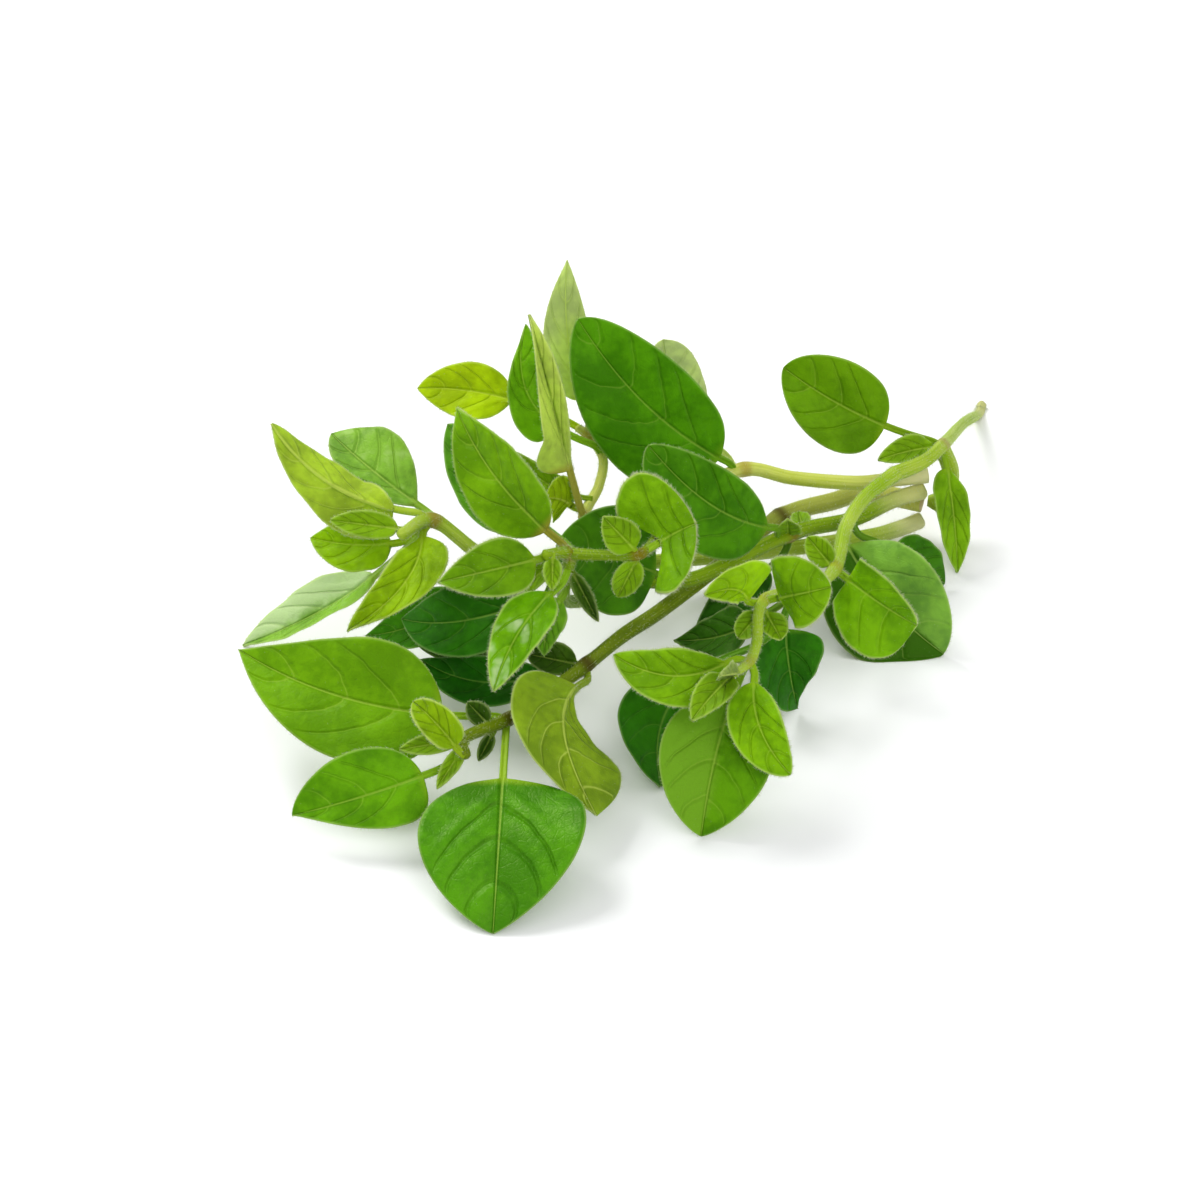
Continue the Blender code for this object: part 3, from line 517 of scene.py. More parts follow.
def blade(piece, root, tip, face, width, arch=0.0, folds=(12, 12), sweep=0.0, twist=0.0, petiole=0.12,
          powers=(0.5, 0.85), right_powers=None, lean=0.0, shoulder=0.0, wave=0.25, quilt=0.18, thickness=0.3,
          stalk=0.95, rows=60, lanes=33, pairs=4.0, slant=0.75, fuzz=9.0, down=1.0, seed=0, lead=None, kinds=(1, 2, 4)):
    """One leaf with its petiole: a thin closed blade with sunken veins above and raised ones below.

    The two halves of the blade have widths of their own: powers and right_powers shape them, lean makes the right
    one wider, and shoulder is how far the lobes of a heart-shaped base reach back.
    """
    chance = np.random.default_rng(seed + 101)
    root, tip = np.asarray(root, float), np.asarray(tip, float)
    run = tip - root
    along = unit(run)
    upper = np.asarray(face, float)
    upper = unit(upper - along * np.dot(upper, along))
    right = np.cross(along, upper)
    lane = np.linspace(-1, 1, lanes)
    lane = np.sign(lane) * np.abs(lane) ** 1.12
    stalk_rows = 7 if petiole > 0.02 else 2
    blade_share = 0.5 - 0.5 * np.cos(np.pi * np.linspace(0, 1, rows) ** 1.15)
    steps = np.concatenate([np.linspace(0, petiole, stalk_rows, endpoint=False), petiole + (1 - petiole) * blade_share])
    share = np.clip((steps - petiole) / (1 - petiole), 0, 1)
    bulge = 4 * steps * (1 - steps)
    centre = root + steps[:, None] * run + bulge[:, None] * (arch * upper + sweep * right)
    tangent = unit(run + (4 * (1 - 2 * steps))[:, None] * (arch * upper + sweep * right))
    turn = np.radians(twist) * steps[:, None]
    up = unit(upper - tangent * (tangent @ upper)[:, None])
    flat = np.cross(tangent, up)
    up, flat = up * np.cos(turn) + flat * np.sin(turn), flat * np.cos(turn) - up * np.sin(turn)
    halves = np.stack([0.5 * width * (1 - lean) * half_width(share, powers),
                       0.5 * width * (1 + lean) * half_width(share, right_powers or powers)], axis=1)
    stalk_half = 0.5 * stalk * 1.05
    halves = np.where(share[:, None] < 0.5, (halves ** 3 + stalk_half ** 3) ** (1 / 3), np.maximum(halves, 0.05))
    if lead is not None:
        lead = np.asarray(lead, float)
        reach = np.linalg.norm(centre[0] - lead)
        if reach > 0.2:
            number = max(3, int(reach / 0.6))
            t = np.linspace(0, 1, number, endpoint=False)[:, None]
            bend = centre[0] - tangent[0] * reach * 0.5
            extra = (1 - t) ** 2 * lead + 2 * t * (1 - t) * bend + t ** 2 * centre[0]
            centre = np.concatenate([extra, centre])
            lead_tangent = unit(2 * (1 - t) * (bend - lead) + 2 * t * (centre[number] - bend))
            lead_up = unit(up[0] - lead_tangent * (lead_tangent @ up[0])[:, None])
            tangent = np.concatenate([lead_tangent, tangent])
            up = np.concatenate([lead_up, up])
            flat = np.concatenate([np.cross(lead_tangent, lead_up), flat])
            halves = np.concatenate([np.full((number, 2), stalk_half), halves])
            share = np.concatenate([np.zeros(number), share])
    count = len(centre)
    s, l = share[:, None], lane[None, :]
    half = np.where(l < 0, halves[:, :1], halves[:, 1:])
    lift = np.where(l < 0, math.radians(folds[0]), math.radians(folds[1])) * np.minimum(1.0, 4 * s)
    soft = np.sqrt(l * l + 0.015) - math.sqrt(0.015)
    soft = soft / soft[:, -1:]
    phase = chance.uniform(0, 2 * math.pi, 6)
    edge = np.abs(l) ** 2.5 * np.sin(np.pi * s) ** 0.7
    side_phase = np.where(l < 0, phase[0], phase[1])
    long_wave = np.sin(2 * math.pi * 1.6 * s + side_phase)
    short_wave = 0.45 * np.sin(2 * math.pi * 4.3 * s + phase[2] + side_phase)
    height = wave * edge * (long_wave + short_wave)
    start = s - slant * np.abs(l) ** VEIN_BEND * (1.15 - s) + VEIN_STAGGER * np.sign(l)
    order = pairs * np.maximum(start, 0) ** VEIN_CROWDING
    pillow = (np.abs(np.sin(math.pi * order)) ** 0.7 - 0.6) * (1 - np.exp(-(l / 0.16) ** 2)) * (1 - np.abs(l) ** 5)
    height = height + quilt * pillow * np.sin(math.pi * np.clip(s * 1.02, 0, 1)) ** 0.5
    back = shoulder * np.abs(l) * (1 - s) * np.minimum(1.0, 0.08 + 6 * s)
    rows_points = (centre[:, None, :] + (half * l * np.cos(lift))[..., None] * flat[:, None, :]
                   + (half * soft * np.sin(lift) + height)[..., None] * up[:, None, :]
                   - back[..., None] * tangent[:, None, :])
    normals = unit(np.cross(np.gradient(rows_points, axis=1), np.gradient(rows_points, axis=0)))
    stalked = np.clip(1 - share * 7, 0, 1)[:, None]
    round_edge = np.sqrt(np.maximum(1 - l * l, 0))
    body = thickness * (1 - np.abs(l) ** 6) * (1 - stalked) + stalk * round_edge * stalked + 0.05
    inward = np.abs(l) * half
    rib = (0.42 * stalk * (1 - 0.8 * s) * (1 - stalked)) * np.exp(-(inward / (0.34 * stalk)) ** 2)
    groove = 0.1 * (1 - s) * np.exp(-(inward / 0.25) ** 2)
    top = rows_points + normals * (0.5 * body - groove)[..., None]
    low = rows_points - normals * (0.5 * body + rib)[..., None]
    top[..., 2] = np.maximum(top[..., 2], 0.03 + 0.6 * body)
    low[..., 2] = np.maximum(low[..., 2], 0.03)
    share_map = np.stack([np.broadcast_to(0.5 + 0.5 * l, (count, lanes)),
                          np.broadcast_to(BLADE_START + (1 - BLADE_START) * s, (count, lanes))], axis=-1).reshape(-1, 2)
    width_map = np.stack([0.5 + l * half / WIDTH_UNIT, half / (WIDTH_UNIT / 2)], axis=-1).reshape(-1, 2)
    grid = strips(count, lanes)
    piece.add(top.reshape(-1, 3), grid, kinds[0], share_map, width_map)
    under = piece.count
    over = under - count * lanes
    piece.add(low.reshape(-1, 3), grid[:, ::-1], kinds[1], share_map, width_map)
    rim = list(range(lanes)) + [row * lanes + lanes - 1 for row in range(1, count)]
    rim += [(count - 1) * lanes + step for step in range(lanes - 2, -1, -1)]
    rim += [row * lanes for row in range(count - 2, 0, -1)]
    for here, there in zip(rim, rim[1:] + rim[:1]):
        piece.faces.append([over + there, over + here, under + here, under + there])
        piece.kinds.append(kinds[0])
    if fuzz:
        leaf_hairs(piece, chance, top, low, normals, flat, tangent, fuzz, down, kinds[2])


def leaf_hairs(piece, chance, top, low, normals, flat, tangent, fuzz, down, kind):
    """Hairs along the margin and the petiole, and short ones over both faces; down scales their length."""
    count, lanes = top.shape[:2]
    middle = lanes // 2
    gaps = np.linalg.norm(np.diff(top[:, 0], axis=0), axis=1)
    number = int(fuzz * gaps.sum())
    for edge, sign in ((0, -1.0), (lanes - 1, 1.0)):
        rows = chance.choice(count - 1, number, p=gaps / gaps.sum())
        mix = chance.random((number, 1))
        margin = 0.5 * (top[:, edge] + low[:, edge])
        roots = margin[rows] * (1 - mix) + margin[rows + 1] * mix
        out = sign * flat[rows] + 0.55 * tangent[rows] + 0.5 * chance.normal(size=(number, 3))
        hairs(piece, roots, out, down * chance.uniform(0.15, 0.45, number), 0.02 * down, kind)
    for surface, sign, amount in ((top, 1.0, 0.3), (low, -1.0, 0.6)):
        number = int(amount * fuzz * gaps.sum())
        rows = chance.integers(1, count - 1, number)
        picks = chance.integers(1, lanes - 1, number)
        out = sign * normals[rows, picks] + 0.6 * tangent[rows] + 0.4 * chance.normal(size=(number, 3))
        hairs(piece, surface[rows, picks], out, down * chance.uniform(0.08, 0.24, number), 0.013, kind)
    number = int(6 * fuzz)
    rows = chance.integers(0, max(2, count // 3), number)
    out = -normals[rows, middle] + 0.8 * chance.normal(size=(number, 3))
    hairs(piece, low[rows, middle], out, down * chance.uniform(0.15, 0.4, number), 0.018, kind)


hair = hair_finish()
cut_end, tree, shader, _ = new_material("cut_stem_end")
place = tree.nodes.new("ShaderNodeTexCoord").outputs["Object"]
wire(tree, shader.inputs["Base Color"],
     blend(tree, noise(tree, place, 1500.0), paint(176, 150, 100), paint(214, 200, 150)))
shader.inputs["Roughness"].default_value = 0.6
shader.inputs["Specular IOR Level"].default_value = 0.2
base_skin = stem_finish("stem_base_skin", paint(176, 200, 70), paint(144, 178, 30), paint(160, 150, 70),
                        paint(206, 204, 136), fade=10.0)
right_skin = stem_finish("stem_right_skin", paint(180, 206, 70), paint(140, 178, 22), paint(160, 168, 38),
                         paint(220, 220, 150))
left_skin = stem_finish("stem_left_skin", paint(182, 204, 80), paint(146, 178, 34), paint(154, 132, 56),
                        paint(236, 232, 176), fade=10.0)
top_skin = stem_finish("stem_top_skin", paint(216, 222, 116), paint(188, 202, 70), paint(174, 156, 60),
                       paint(240, 234, 182), fade=10.0)
olive_skin = stem_finish("stem_olive_skin", paint(122, 144, 16), paint(92, 116, 8), paint(70, 52, 8),
                         paint(206, 208, 104), fade=44.0)
middle_skin = stem_finish("stem_middle_skin", paint(142, 174, 20), paint(102, 140, 4), paint(134, 112, 16),
                          paint(230, 228, 152), fade=12.0)
young_leaf = leaf_finish("small_leaf_young_face", (126, 178, 12))
young_leaf_back = leaf_finish("small_leaf_young_back", (150, 180, 80), under=True)
# The dark small leaf: the young leaf's green darkened as painted shade, for small leaves that sit in shade.
painted_shade_leaf = leaf_finish("small_leaf_painted_shade_face", (46, 88, 8))
painted_shade_leaf_back = leaf_finish("small_leaf_painted_shade_back", (96, 132, 50), under=True)


# Small leaves that sit in shade take these finishes, whose dark green is painted shade.
PAINTED_SHADE_KINDS = (5, 6, 4)  # the finishes of a dark small leaf, in skins
small_seeds = itertools.count(1)


def small_leaf(piece, root, tip, face, width, arch=0.0, folds=(20, 20), sweep=0.0, petiole=0.15, powers=(0.5, 0.75),
               kinds=(1, 2, 4)):
    """One of the smallest leaves, which sits on its stem."""
    blade(piece, root, tip, face, width, arch, folds, sweep, 0.0, petiole, powers, wave=0.12, quilt=0.05,
          thickness=0.26, stalk=0.7, rows=28, lanes=15, fuzz=7.0, seed=next(small_seeds), kinds=kinds)


BASE_NODE = (48, 32.5, 14)
CROWN = (49, 31, 6.5)
skins = [young_leaf, young_leaf_back, cut_end, hair, painted_shade_leaf, painted_shade_leaf_back]
base_stem = Piece()
stem(base_stem, [(57.3, 62.5, 0.5), (56.5, 59.8, 0.5), (52.7, 47.6, 7.3), BASE_NODE, (45, 28, 14.5), (40.6, 25, 14.5)],
     0.62, 1.12, nodes=(3,))
stem(base_stem, [BASE_NODE, (49.5, 32, 10), CROWN, (47, 30.5, 5.5)], 1.1, 1.3, cut=False)
small_leaf(base_stem, BASE_NODE, (38.7, 27.8, 15), (0.1, -0.5, 0.85), 4.6, arch=0.8)
base_stem.build("base_stem", "stem_base", [base_skin] + skins)

RIGHT_NODE = (31.2, 2.1, 15.5)
right_stem = Piece()
stem(right_stem, [(41, 25.3, 14.5), (39, 23, 14.5), (36, 19, 14.5), (33.3, 12.4, 14.6), RIGHT_NODE, (27, -5.7, 18.3),
                  (21, -13, 22), (20, -19, 20), (19, -20.5, 18), (17, -23, 18)], 1.15, 0.5, nodes=(4, 6, 8), fuzz=8.0,
     cut=False)
small_leaf(right_stem, RIGHT_NODE, (27.6, 4.7, 19), (0, -0.8, 0.6), 3.8, powers=(0.45, 0.6))
small_leaf(right_stem, (21, -14, 21.5), (17.7, -17.5, 19.5), (-0.3, -0.7, 0.6), 3.6, powers=(0.45, 0.45))
small_leaf(right_stem, (21, -14, 21.5), (23.1, -17.8, 19.5), (0.3, -0.7, 0.6), 3.8, powers=(0.45, 0.45))
small_leaf(right_stem, (17.5, -22.5, 18), (11.5, -31.0, 17), (-0.2, -0.5, 0.85), 5.0, arch=0.8)
small_leaf(right_stem, (17.5, -22.5, 18), (15.0, -28.0, 22), (-0.5, -0.6, 0.6), 3.0)
right_stem.build("right_stem", "stem_right", [right_skin] + skins)

FRONT_NODE = (-2, -11.5, 10)
FRONT_TIP_NODE = (-12, -22.5, 10)
front_stem = Piece()
stem(front_stem, [(45.5, 29.8, 6.2), (38, 32.4, 6), (33, 30, 6.3), (25, 25, 7), (16, 13, 7.5), (8, 2, 8.5),
                  (3, -4.5, 9.5), FRONT_NODE, (-8, -18.5, 10), FRONT_TIP_NODE, (-17.2, -28.2, 11.8),
                  (-17, -31.2, 11.4)], 1.35, 0.7, nodes=(3, 7, 9), fuzz=4.0)
small_leaf(front_stem, FRONT_NODE, (-9.5, -11.5, 12), (0, -0.6, 0.8), 4.8, powers=(0.45, 0.5), kinds=PAINTED_SHADE_KINDS)
small_leaf(front_stem, (-14.0, -25, 11), (-17.0, -22.5, 13), (0, -0.6, 0.8), 3.2, kinds=PAINTED_SHADE_KINDS)
small_leaf(front_stem, (-17, -28, 11.5), (-25.5, -28.8, 10.4), (0, -0.6, 0.8), 3.0)
small_leaf(front_stem, (-16.8, -28.5, 11.5), (-20.6, -33.6, 8.0), (-0.3, -0.8, 0.5), 2.4)
small_leaf(front_stem, (-13.5, -24.5, 10), (-15.6, -26.5, 6.5), (0, -0.8, 0.6), 2.0, kinds=PAINTED_SHADE_KINDS)
front_stem.build("front_stem", "stem_front", [olive_skin] + skins)

LEFT_TIP = (-22, 3, 23)
left_stem = Piece()
stem(left_stem, [(45.5, 30, 2.9), (42, 28, 2.8), (37, 25.5, 3.2), (22, 21, 4), (8, 17, 5.5), (-2, 10.5, 9.5),
                 (-8, 4, 14), (-15, 0, 19), LEFT_TIP, (-26, -1.5, 24)], 1.15, 0.8, nodes=(5, 8), fuzz=5.0)
small_leaf(left_stem, (-25, -0.5, 24), (-35.5, 1.4, 24.2), (0, -0.7, 0.7), 4.0)
left_stem.build("left_stem", "stem_left", [left_skin] + skins)

MIDDLE_NODE = (-4, -9.5, 27)
SIDE_SHOOT_NODE = (5, -11, 28)
middle_stem = Piece()
stem(middle_stem, [(45.5, 29.2, 8.7), (41, 27, 8.6), (35, 22, 9), (26, 16, 11), (13, 5.5, 11.5), (5, 4.5, 11.5),
                   (-1, 1, 11.5), (-4.6, -5, 16), (-4.3, -9.3, 23.5), MIDDLE_NODE, (-7, -12.5, 29)],
     1.15, 0.7, nodes=(3, 9), fuzz=5.0)
stem(middle_stem, [MIDDLE_NODE, (0, -10.5, 27.5), SIDE_SHOOT_NODE, (7, -9, 29)], 0.8, 0.5, nodes=(2,), fuzz=8.0,
     cut=False)
small_leaf(middle_stem, (-6, -12, 29), (-6.1, -15.9, 26), (0, -0.8, 0.5), 2.6)
small_leaf(middle_stem, (-5, -11, 28), (-11.3, -13.2, 22.5), (-0.3, -0.7, 0.6), 3.0)
small_leaf(middle_stem, SIDE_SHOOT_NODE, (0.4, -10.2, 33.4), (0, -0.8, 0.5), 5.0)
small_leaf(middle_stem, SIDE_SHOOT_NODE, (2.3, -9.6, 20), (0, -0.9, 0.3), 4.0)
small_leaf(middle_stem, (-4, -9.4, 25), (-0.2, -13, 18.6), (0, -0.9, 0.3), 2.4, kinds=PAINTED_SHADE_KINDS)
small_leaf(middle_stem, (25.8, 15.5, 10.7), (25.5, 13.7, 15.2), (0, -0.95, 0.2), 4.0, powers=(0.5, 0.6))
small_leaf(middle_stem, (28, 17.8, 10.4), (27.6, 23.2, 9.4), (0, -0.6, 0.8), 3.0)
middle_stem.build("middle_stem", "stem_middle", [middle_skin] + skins)

TOP_NODE = (-1.6, 23.4, 22.2)
top_stem = Piece()
stem(top_stem, [(46, 29.5, 11.2), (42, 29, 11), (36, 27.5, 11.3), (27, 27, 12.5), (20, 27, 14), (12, 22, 13.5),
                (4, 16.5, 13.5), (-2, 13.5, 15.5), (-0.2, 18.8, 17), (0.4, 22, 19.4), TOP_NODE, (-3.1, 24, 23.2)],
     1.1, 0.5, nodes=(4, 7, 10), fuzz=5.0)
small_leaf(top_stem, (-1, 16, 17), (-11.4, 19.9, 22), (0, -0.8, 0.6), 4.0, sweep=-1.5)
top_stem.build("top_stem", "stem_top", [top_skin] + skins)


# Leaves of the base node: a round leaf on a thin petiole that points left, and a long one that hangs down.
# They are the oldest here: even, mid green, with a pale midrib and a smooth margin.
def leaf(name, root, tip, face, width, slot, colour, back=None, under=False, arch=0.0, folds=(12, 12), sweep=0.0,
         twist=0.0, petiole=0.12, clear=2.107, powers=(0.5, 0.85), right_powers=None, lean=0.0, shoulder=0.0,
         pairs=4.0, slant=0.75, wave=0.25, quilt=0.18, fuzz=9.0, down=1.0, **looks):
    """One large leaf, led to the nearest stem, in place of the leaf of the same name in the solid model.

    colour is the face's colour, back the lower face's; under shows a leaf that is seen from below.
    """
    root, tip = np.asarray(root, float), np.asarray(tip, float)
    start = root + clear * unit(tip - root)
    axis = np.concatenate(stem_axes)
    lead = axis[np.argmin(np.linalg.norm(axis - root, axis=1))]
    piece = Piece()
    blade(piece, start, tip, face, width, arch, folds, sweep, twist, petiole, powers, right_powers, lean, shoulder,
          wave, quilt, pairs=pairs, slant=slant, fuzz=fuzz, down=down, seed=next(seeds), lead=lead, kinds=(0, 1, 2))
    back = back or mixed(colour, (168, 190, 110), 0.5)
    finishes = [leaf_finish(name + "_face", colour, under, pairs, slant, **looks),
                leaf_finish(name + "_back", back, True, pairs, slant, **looks), hair]
    piece.build(name + "_leaf", "leaf_" + name, finishes)


SPARSE = {"fuzz": 5, "down": 0.7}  # the few short hairs of older and shaded leaves
seeds = itertools.chain(range(31, 64), range(65, 75))  # one for each leaf, in this order
leaf("base_left", BASE_NODE, (25.6, 36.7, 24.5), (0, -0.88, 0.47), 12.6, "middle_green", (101, 158, 1),
     arch=1.7, sweep=-1, petiole=0.29, powers=(0.43, 0.7), right_powers=(0.44, 0.54), **SPARSE,
     contrast=0.12)
leaf("base_drooping", (48.3, 31.6, 14.2), (50.2, 21.5, 0), (0.41, -0.67, 0.62), 5.8, "middle_green",
     (116, 175, 2), arch=2.1, sweep=0.9, petiole=0.05, powers=(0.61, 0.88), right_powers=(0.48, 0.92), lean=0.1,
     fuzz=6, down=0.8)


# Leaves of the right stem: two wide pairs at the right, then the two young pairs of the near tip and the
# broad leaf below them that reaches the surface, with dark leaves behind, whose green is darkened with
# painted shade.
leaf("right_front", RIGHT_NODE, (42.2, -2.4, 9.7), (-0.21, -0.91, 0.35), 11.1, "fresh_green", (117, 185, 3),
     arch=1.3, sweep=-0.1, folds=(16, 12), petiole=0.04, clear=1.9, powers=(0.3, 0.7), right_powers=(0.66, 0.33),
     lean=0.29, shoulder=2.2, fuzz=24, down=1.25, rim=0.8, pairs=3.0)
# right_bluish: the grey-blue in its colour is the white room's reflection painted in, and the darker green that takes
# over one half is painted shade under right_front.
leaf("right_bluish", (32, 14.5, 13), (46.8, 3, 0.4), (0, -0.76, 0.65), 17, "bluish_green", (123, 182, 69),
     arch=1.5, sweep=1.4, folds=(25, 0), twist=10, petiole=0.04, powers=(0.59, 0.64), rough=0.38,
     second=((52, 104, 8), "Across", 0.48, 0.58))
leaf("right_far", (35, 16.5, 11), (48, 17.8, 1), (0.59, -0.49, 0.64), 7.5, "shaded_green", (40, 114, 1),
     arch=1.1, sweep=-0.2, petiole=0.3, powers=(0.5, 0.7), **SPARSE)
leaf("near_upper_left", (21, -13, 22), (13.2, -17.3, 26.3), (0.55, -0.82, 0.17), 6.9, "fresh_green",
     (158, 215, 3), arch=0.9, sweep=1.5, folds=(12, 20), petiole=0.03, clear=2.8, powers=(0.56, 0.65),
     right_powers=(0.4, 0.84), lean=0.48, fuzz=22, down=1.2, rim=0.7, pairs=3.0)
leaf("near_upper_right", (21, -13, 22), (29.4, -15.1, 26), (-0.16, -0.91, 0.38), 10.2, "fresh_green",
     (117, 177, 2), arch=1.1, sweep=-0.2, folds=(14, 18), petiole=0.03, clear=2.4, powers=(0.43, 0.67),
     right_powers=(0.42, 0.68), lean=-0.15, fuzz=20, down=1.2, rim=0.7, pairs=3.0)
leaf("near_lower_left", (19, -20.5, 18), (1.7, -20.2, 18.9), (-0.06, -0.55, 0.83), 8.2, "fresh_green",
     (121, 181, 1), arch=1.6, sweep=-2.9, petiole=0.05, clear=2.3, powers=(0.45, 0.88), right_powers=(0.55, 0.67),
     lean=-0.13, fuzz=16, down=1.1, rim=0.6)
leaf("near_lower_right", (19, -20.5, 18), (24.1, -31.7, 8.7), (-0.04, -0.76, 0.64), 7, "fresh_green",
     (132, 198, 3), arch=2.1, sweep=1.6, petiole=0.06, powers=(0.56, 0.67), right_powers=(0.54, 0.72), lean=0.11,
     fuzz=18, down=1.1, rim=0.6)
leaf("near_table", (18.5, -18, 16), (12.9, -34, 0.3), (0, -0.7, 0.72), 14.7, "middle_green", (87, 157, 1),
     arch=2.2, sweep=0.7, petiole=0.18, powers=(0.52, 0.78), second=((118, 172, 34), "Across", 0.5, 0.62), fuzz=7)
leaf("near_dark_left", (20, -8, 12), (7.8, -24.5, 0.4), (-0.26, -0.43, 0.87), 12.6, "shaded_green",
     (26, 114, 1), arch=0, sweep=5, folds=(-15, 15), twist=-40, petiole=0.4, powers=(0.58, 0.78), **SPARSE)
leaf("near_dark_right", (24, -5, 14), (26.3, -9.2, 0.9), (0.37, -0.88, 0.3), 11.4, "shaded_green",
     (25, 113, 1), arch=2, sweep=1.1, folds=(14, 22), petiole=0.03, powers=(0.31, 1.39), right_powers=(0.34, 0.92),
     lean=0.09, **SPARSE)
leaf("near_dark_back", (22, -5.4, 13), (9.9, -0.4, 5.4), (-0.58, -0.22, 0.78), 8.1, "shaded_green",
     (26, 85, 1), arch=-1, sweep=-0.4, petiole=0.1, powers=(0.43, 1.05), **SPARSE)


# Leaves of the front stem: the largest ones. One hangs over and shows its pale underside with the raised
# midrib, the broad one in front is quilted between its sunken veins.
leaf("front_hanging", FRONT_NODE, (-0.6, -35.9, 5.6), (-0.4, 0.18, -0.9), 15, "underside_green",
     (96, 146, 20), arch=-2.6, sweep=-5, folds=(-10, 25), twist=20, clear=2.7, powers=(0.47, 1.03),
     right_powers=(1.5, 0.38), lean=0.04, under=True, back=(134, 172, 30), fuzz=12, pairs=4.5, slant=0.8,
     rim=0.7, vein_share=0.75)
# front_back: its very dark green is painted shade, for a leaf that lies shadowed under the leaves above it.
leaf("front_back", (-2.6, -11, 9.4), (-23.9, -5.4, 6.2), (-0.32, -0.58, 0.75), 7, "shaded_green", (3, 98, 2),
     arch=0.6, sweep=-2.8, powers=(0.64, 0.82), fuzz=4, down=0.7)
leaf("front_left", FRONT_TIP_NODE, (-47.2, -11.5, 12.8), (-0.12, -0.58, 0.8), 17, "middle_green",
     (108, 169, 2), arch=1.9, sweep=-3, petiole=0.17, powers=(0.52, 1.03), fuzz=7, contrast=0.12)
leaf("front_broad", FRONT_TIP_NODE, (-13.2, -51.8, 0.2), (0.02, -0.31, 0.95), 21.2, "deep_green", (71, 152, 1),
     arch=2.8, sweep=-0.1, folds=(12, 0), petiole=0.28, powers=(0.44, 0.84), right_powers=(0.52, 0.76), lean=-0.04,
     quilt=0.5, slant=1.1, fuzz=6, down=0.8, contrast=0.14, rough=0.4, shine=0.35, vein_share=0.4,
     side_vein=(40, 104, 2), second=((60, 128, 2), "Along", 0.3, 0.02), stalk_colour=(158, 196, 34),
     relief=0.0006)
leaf("front_lower_left", (-18.2, -30.2, 9.1), (-39, -34.4, 4.2), (-0.11, -0.73, 0.67), 11.2, "middle_green",
     (95, 169, 2), arch=1, sweep=-0.4, petiole=0.08, clear=3, powers=(0.35, 1.18), right_powers=(0.5, 0.66),
     lean=0.06, fuzz=7)
leaf("front_curled", (-17, -31.6, 11.6), (-23.6, -26.3, 16.2), (-0.09, -0.71, 0.69), 4.9, "underside_green",
     (132, 178, 2), arch=1.1, sweep=0.3, folds=(25, 17), petiole=0.03, clear=1.6, powers=(0.46, 0.6),
     right_powers=(0.38, 0.67), lean=0.06, fuzz=16, rim=0.8)


# Leaves of the left stem: a tall folded one that the light shines through, a bluish one behind it, a glossy
# one that reaches down to the surface, and shaded ones below. The bluish and the glossy one carry painted
# highlights, and the shaded ones are darkened with painted shade.
leaf("left_tall", (-22.6, 2.4, 23.4), (-43.3, 9.9, 33.7), (0.31, 0.95, -0.07), 9.1, "yellow_green",
     (185, 225, 46), back=(190, 220, 62), arch=-1, sweep=2.5, folds=(80, -15), twist=5,
     powers=(0.51, 0.61), right_powers=(0.27, 1), lean=0.22, through=0.4, fuzz=12, rim=0.7)
# left_bluish: the grey-blue in its colour is the white room's reflection painted in, and its patches are painted
# highlights.
leaf("left_bluish", (-22, 5.5, 21.5), (-36.3, 18.6, 25.9), (0.3, -0.6, 0.74), 9.5, "bluish_green",
     (128, 185, 62), arch=1.1, sweep=-0.8, petiole=0.05, clear=2.4, powers=(0.75, 0.79), right_powers=(0.86, 0.8),
     lean=0.25, rough=0.35, patches=((186, 216, 132), 0.3), fuzz=7)
leaf("left_pale", (-25.2, 2.8, 19.2), (-38.7, 5.8, 18), (-0.17, -0.53, 0.83), 8.4, "yellow_green",
     (149, 202, 1), arch=0.3, sweep=-0.7, petiole=0.05, powers=(0.49, 0.89), through=0.35)
# left_glossy: the grey-blue in its colour is painted reflection, the whitish second colour over one half is a painted
# sheen, and its patches are painted highlights.
leaf("left_glossy", (-24, 2.5, 20), (-48.8, 5, 0.2), (-0.59, -0.38, 0.72), 7.7, "bluish_green", (144, 203, 70),
     arch=-1.7, sweep=-0.5, folds=(30, 30), twist=6, petiole=0.23, powers=(0.69, 0.96), right_powers=(0.69, 0.83),
     lean=0.09, rough=0.3, second=((206, 230, 170), "Across", 0.5, 0.78), patches=((208, 230, 180), 0.3), fuzz=7)
leaf("left_facing", LEFT_TIP, (-32.9, -11.1, 15.5), (-0.03, -0.44, 0.9), 7.3, "yellow_green", (142, 189, 1),
     arch=2.8, sweep=-3.2, folds=(10, 25), petiole=0.04, clear=2.4, powers=(0.46, 1.32), right_powers=(0.62, 0.74),
     lean=-0.12, fuzz=16, rim=0.6)
leaf("left_low", (-13, 0.4, 16), (-31.5, -0.4, 6.2), (-0.39, -0.44, 0.81), 8, "shaded_green", (57, 146, 1),
     arch=0.9, sweep=-2.3, petiole=0.14, powers=(0.58, 0.95), **SPARSE)
leaf("left_inner", (-5, 4.5, 11), (-24.7, -3.8, 7.8), (0.01, -0.62, 0.79), 5.1, "deep_green", (44, 96, 8),
     arch=-1.4, sweep=-4.4, folds=(30, 5), petiole=0.35, powers=(0.63, 0.84), **SPARSE)


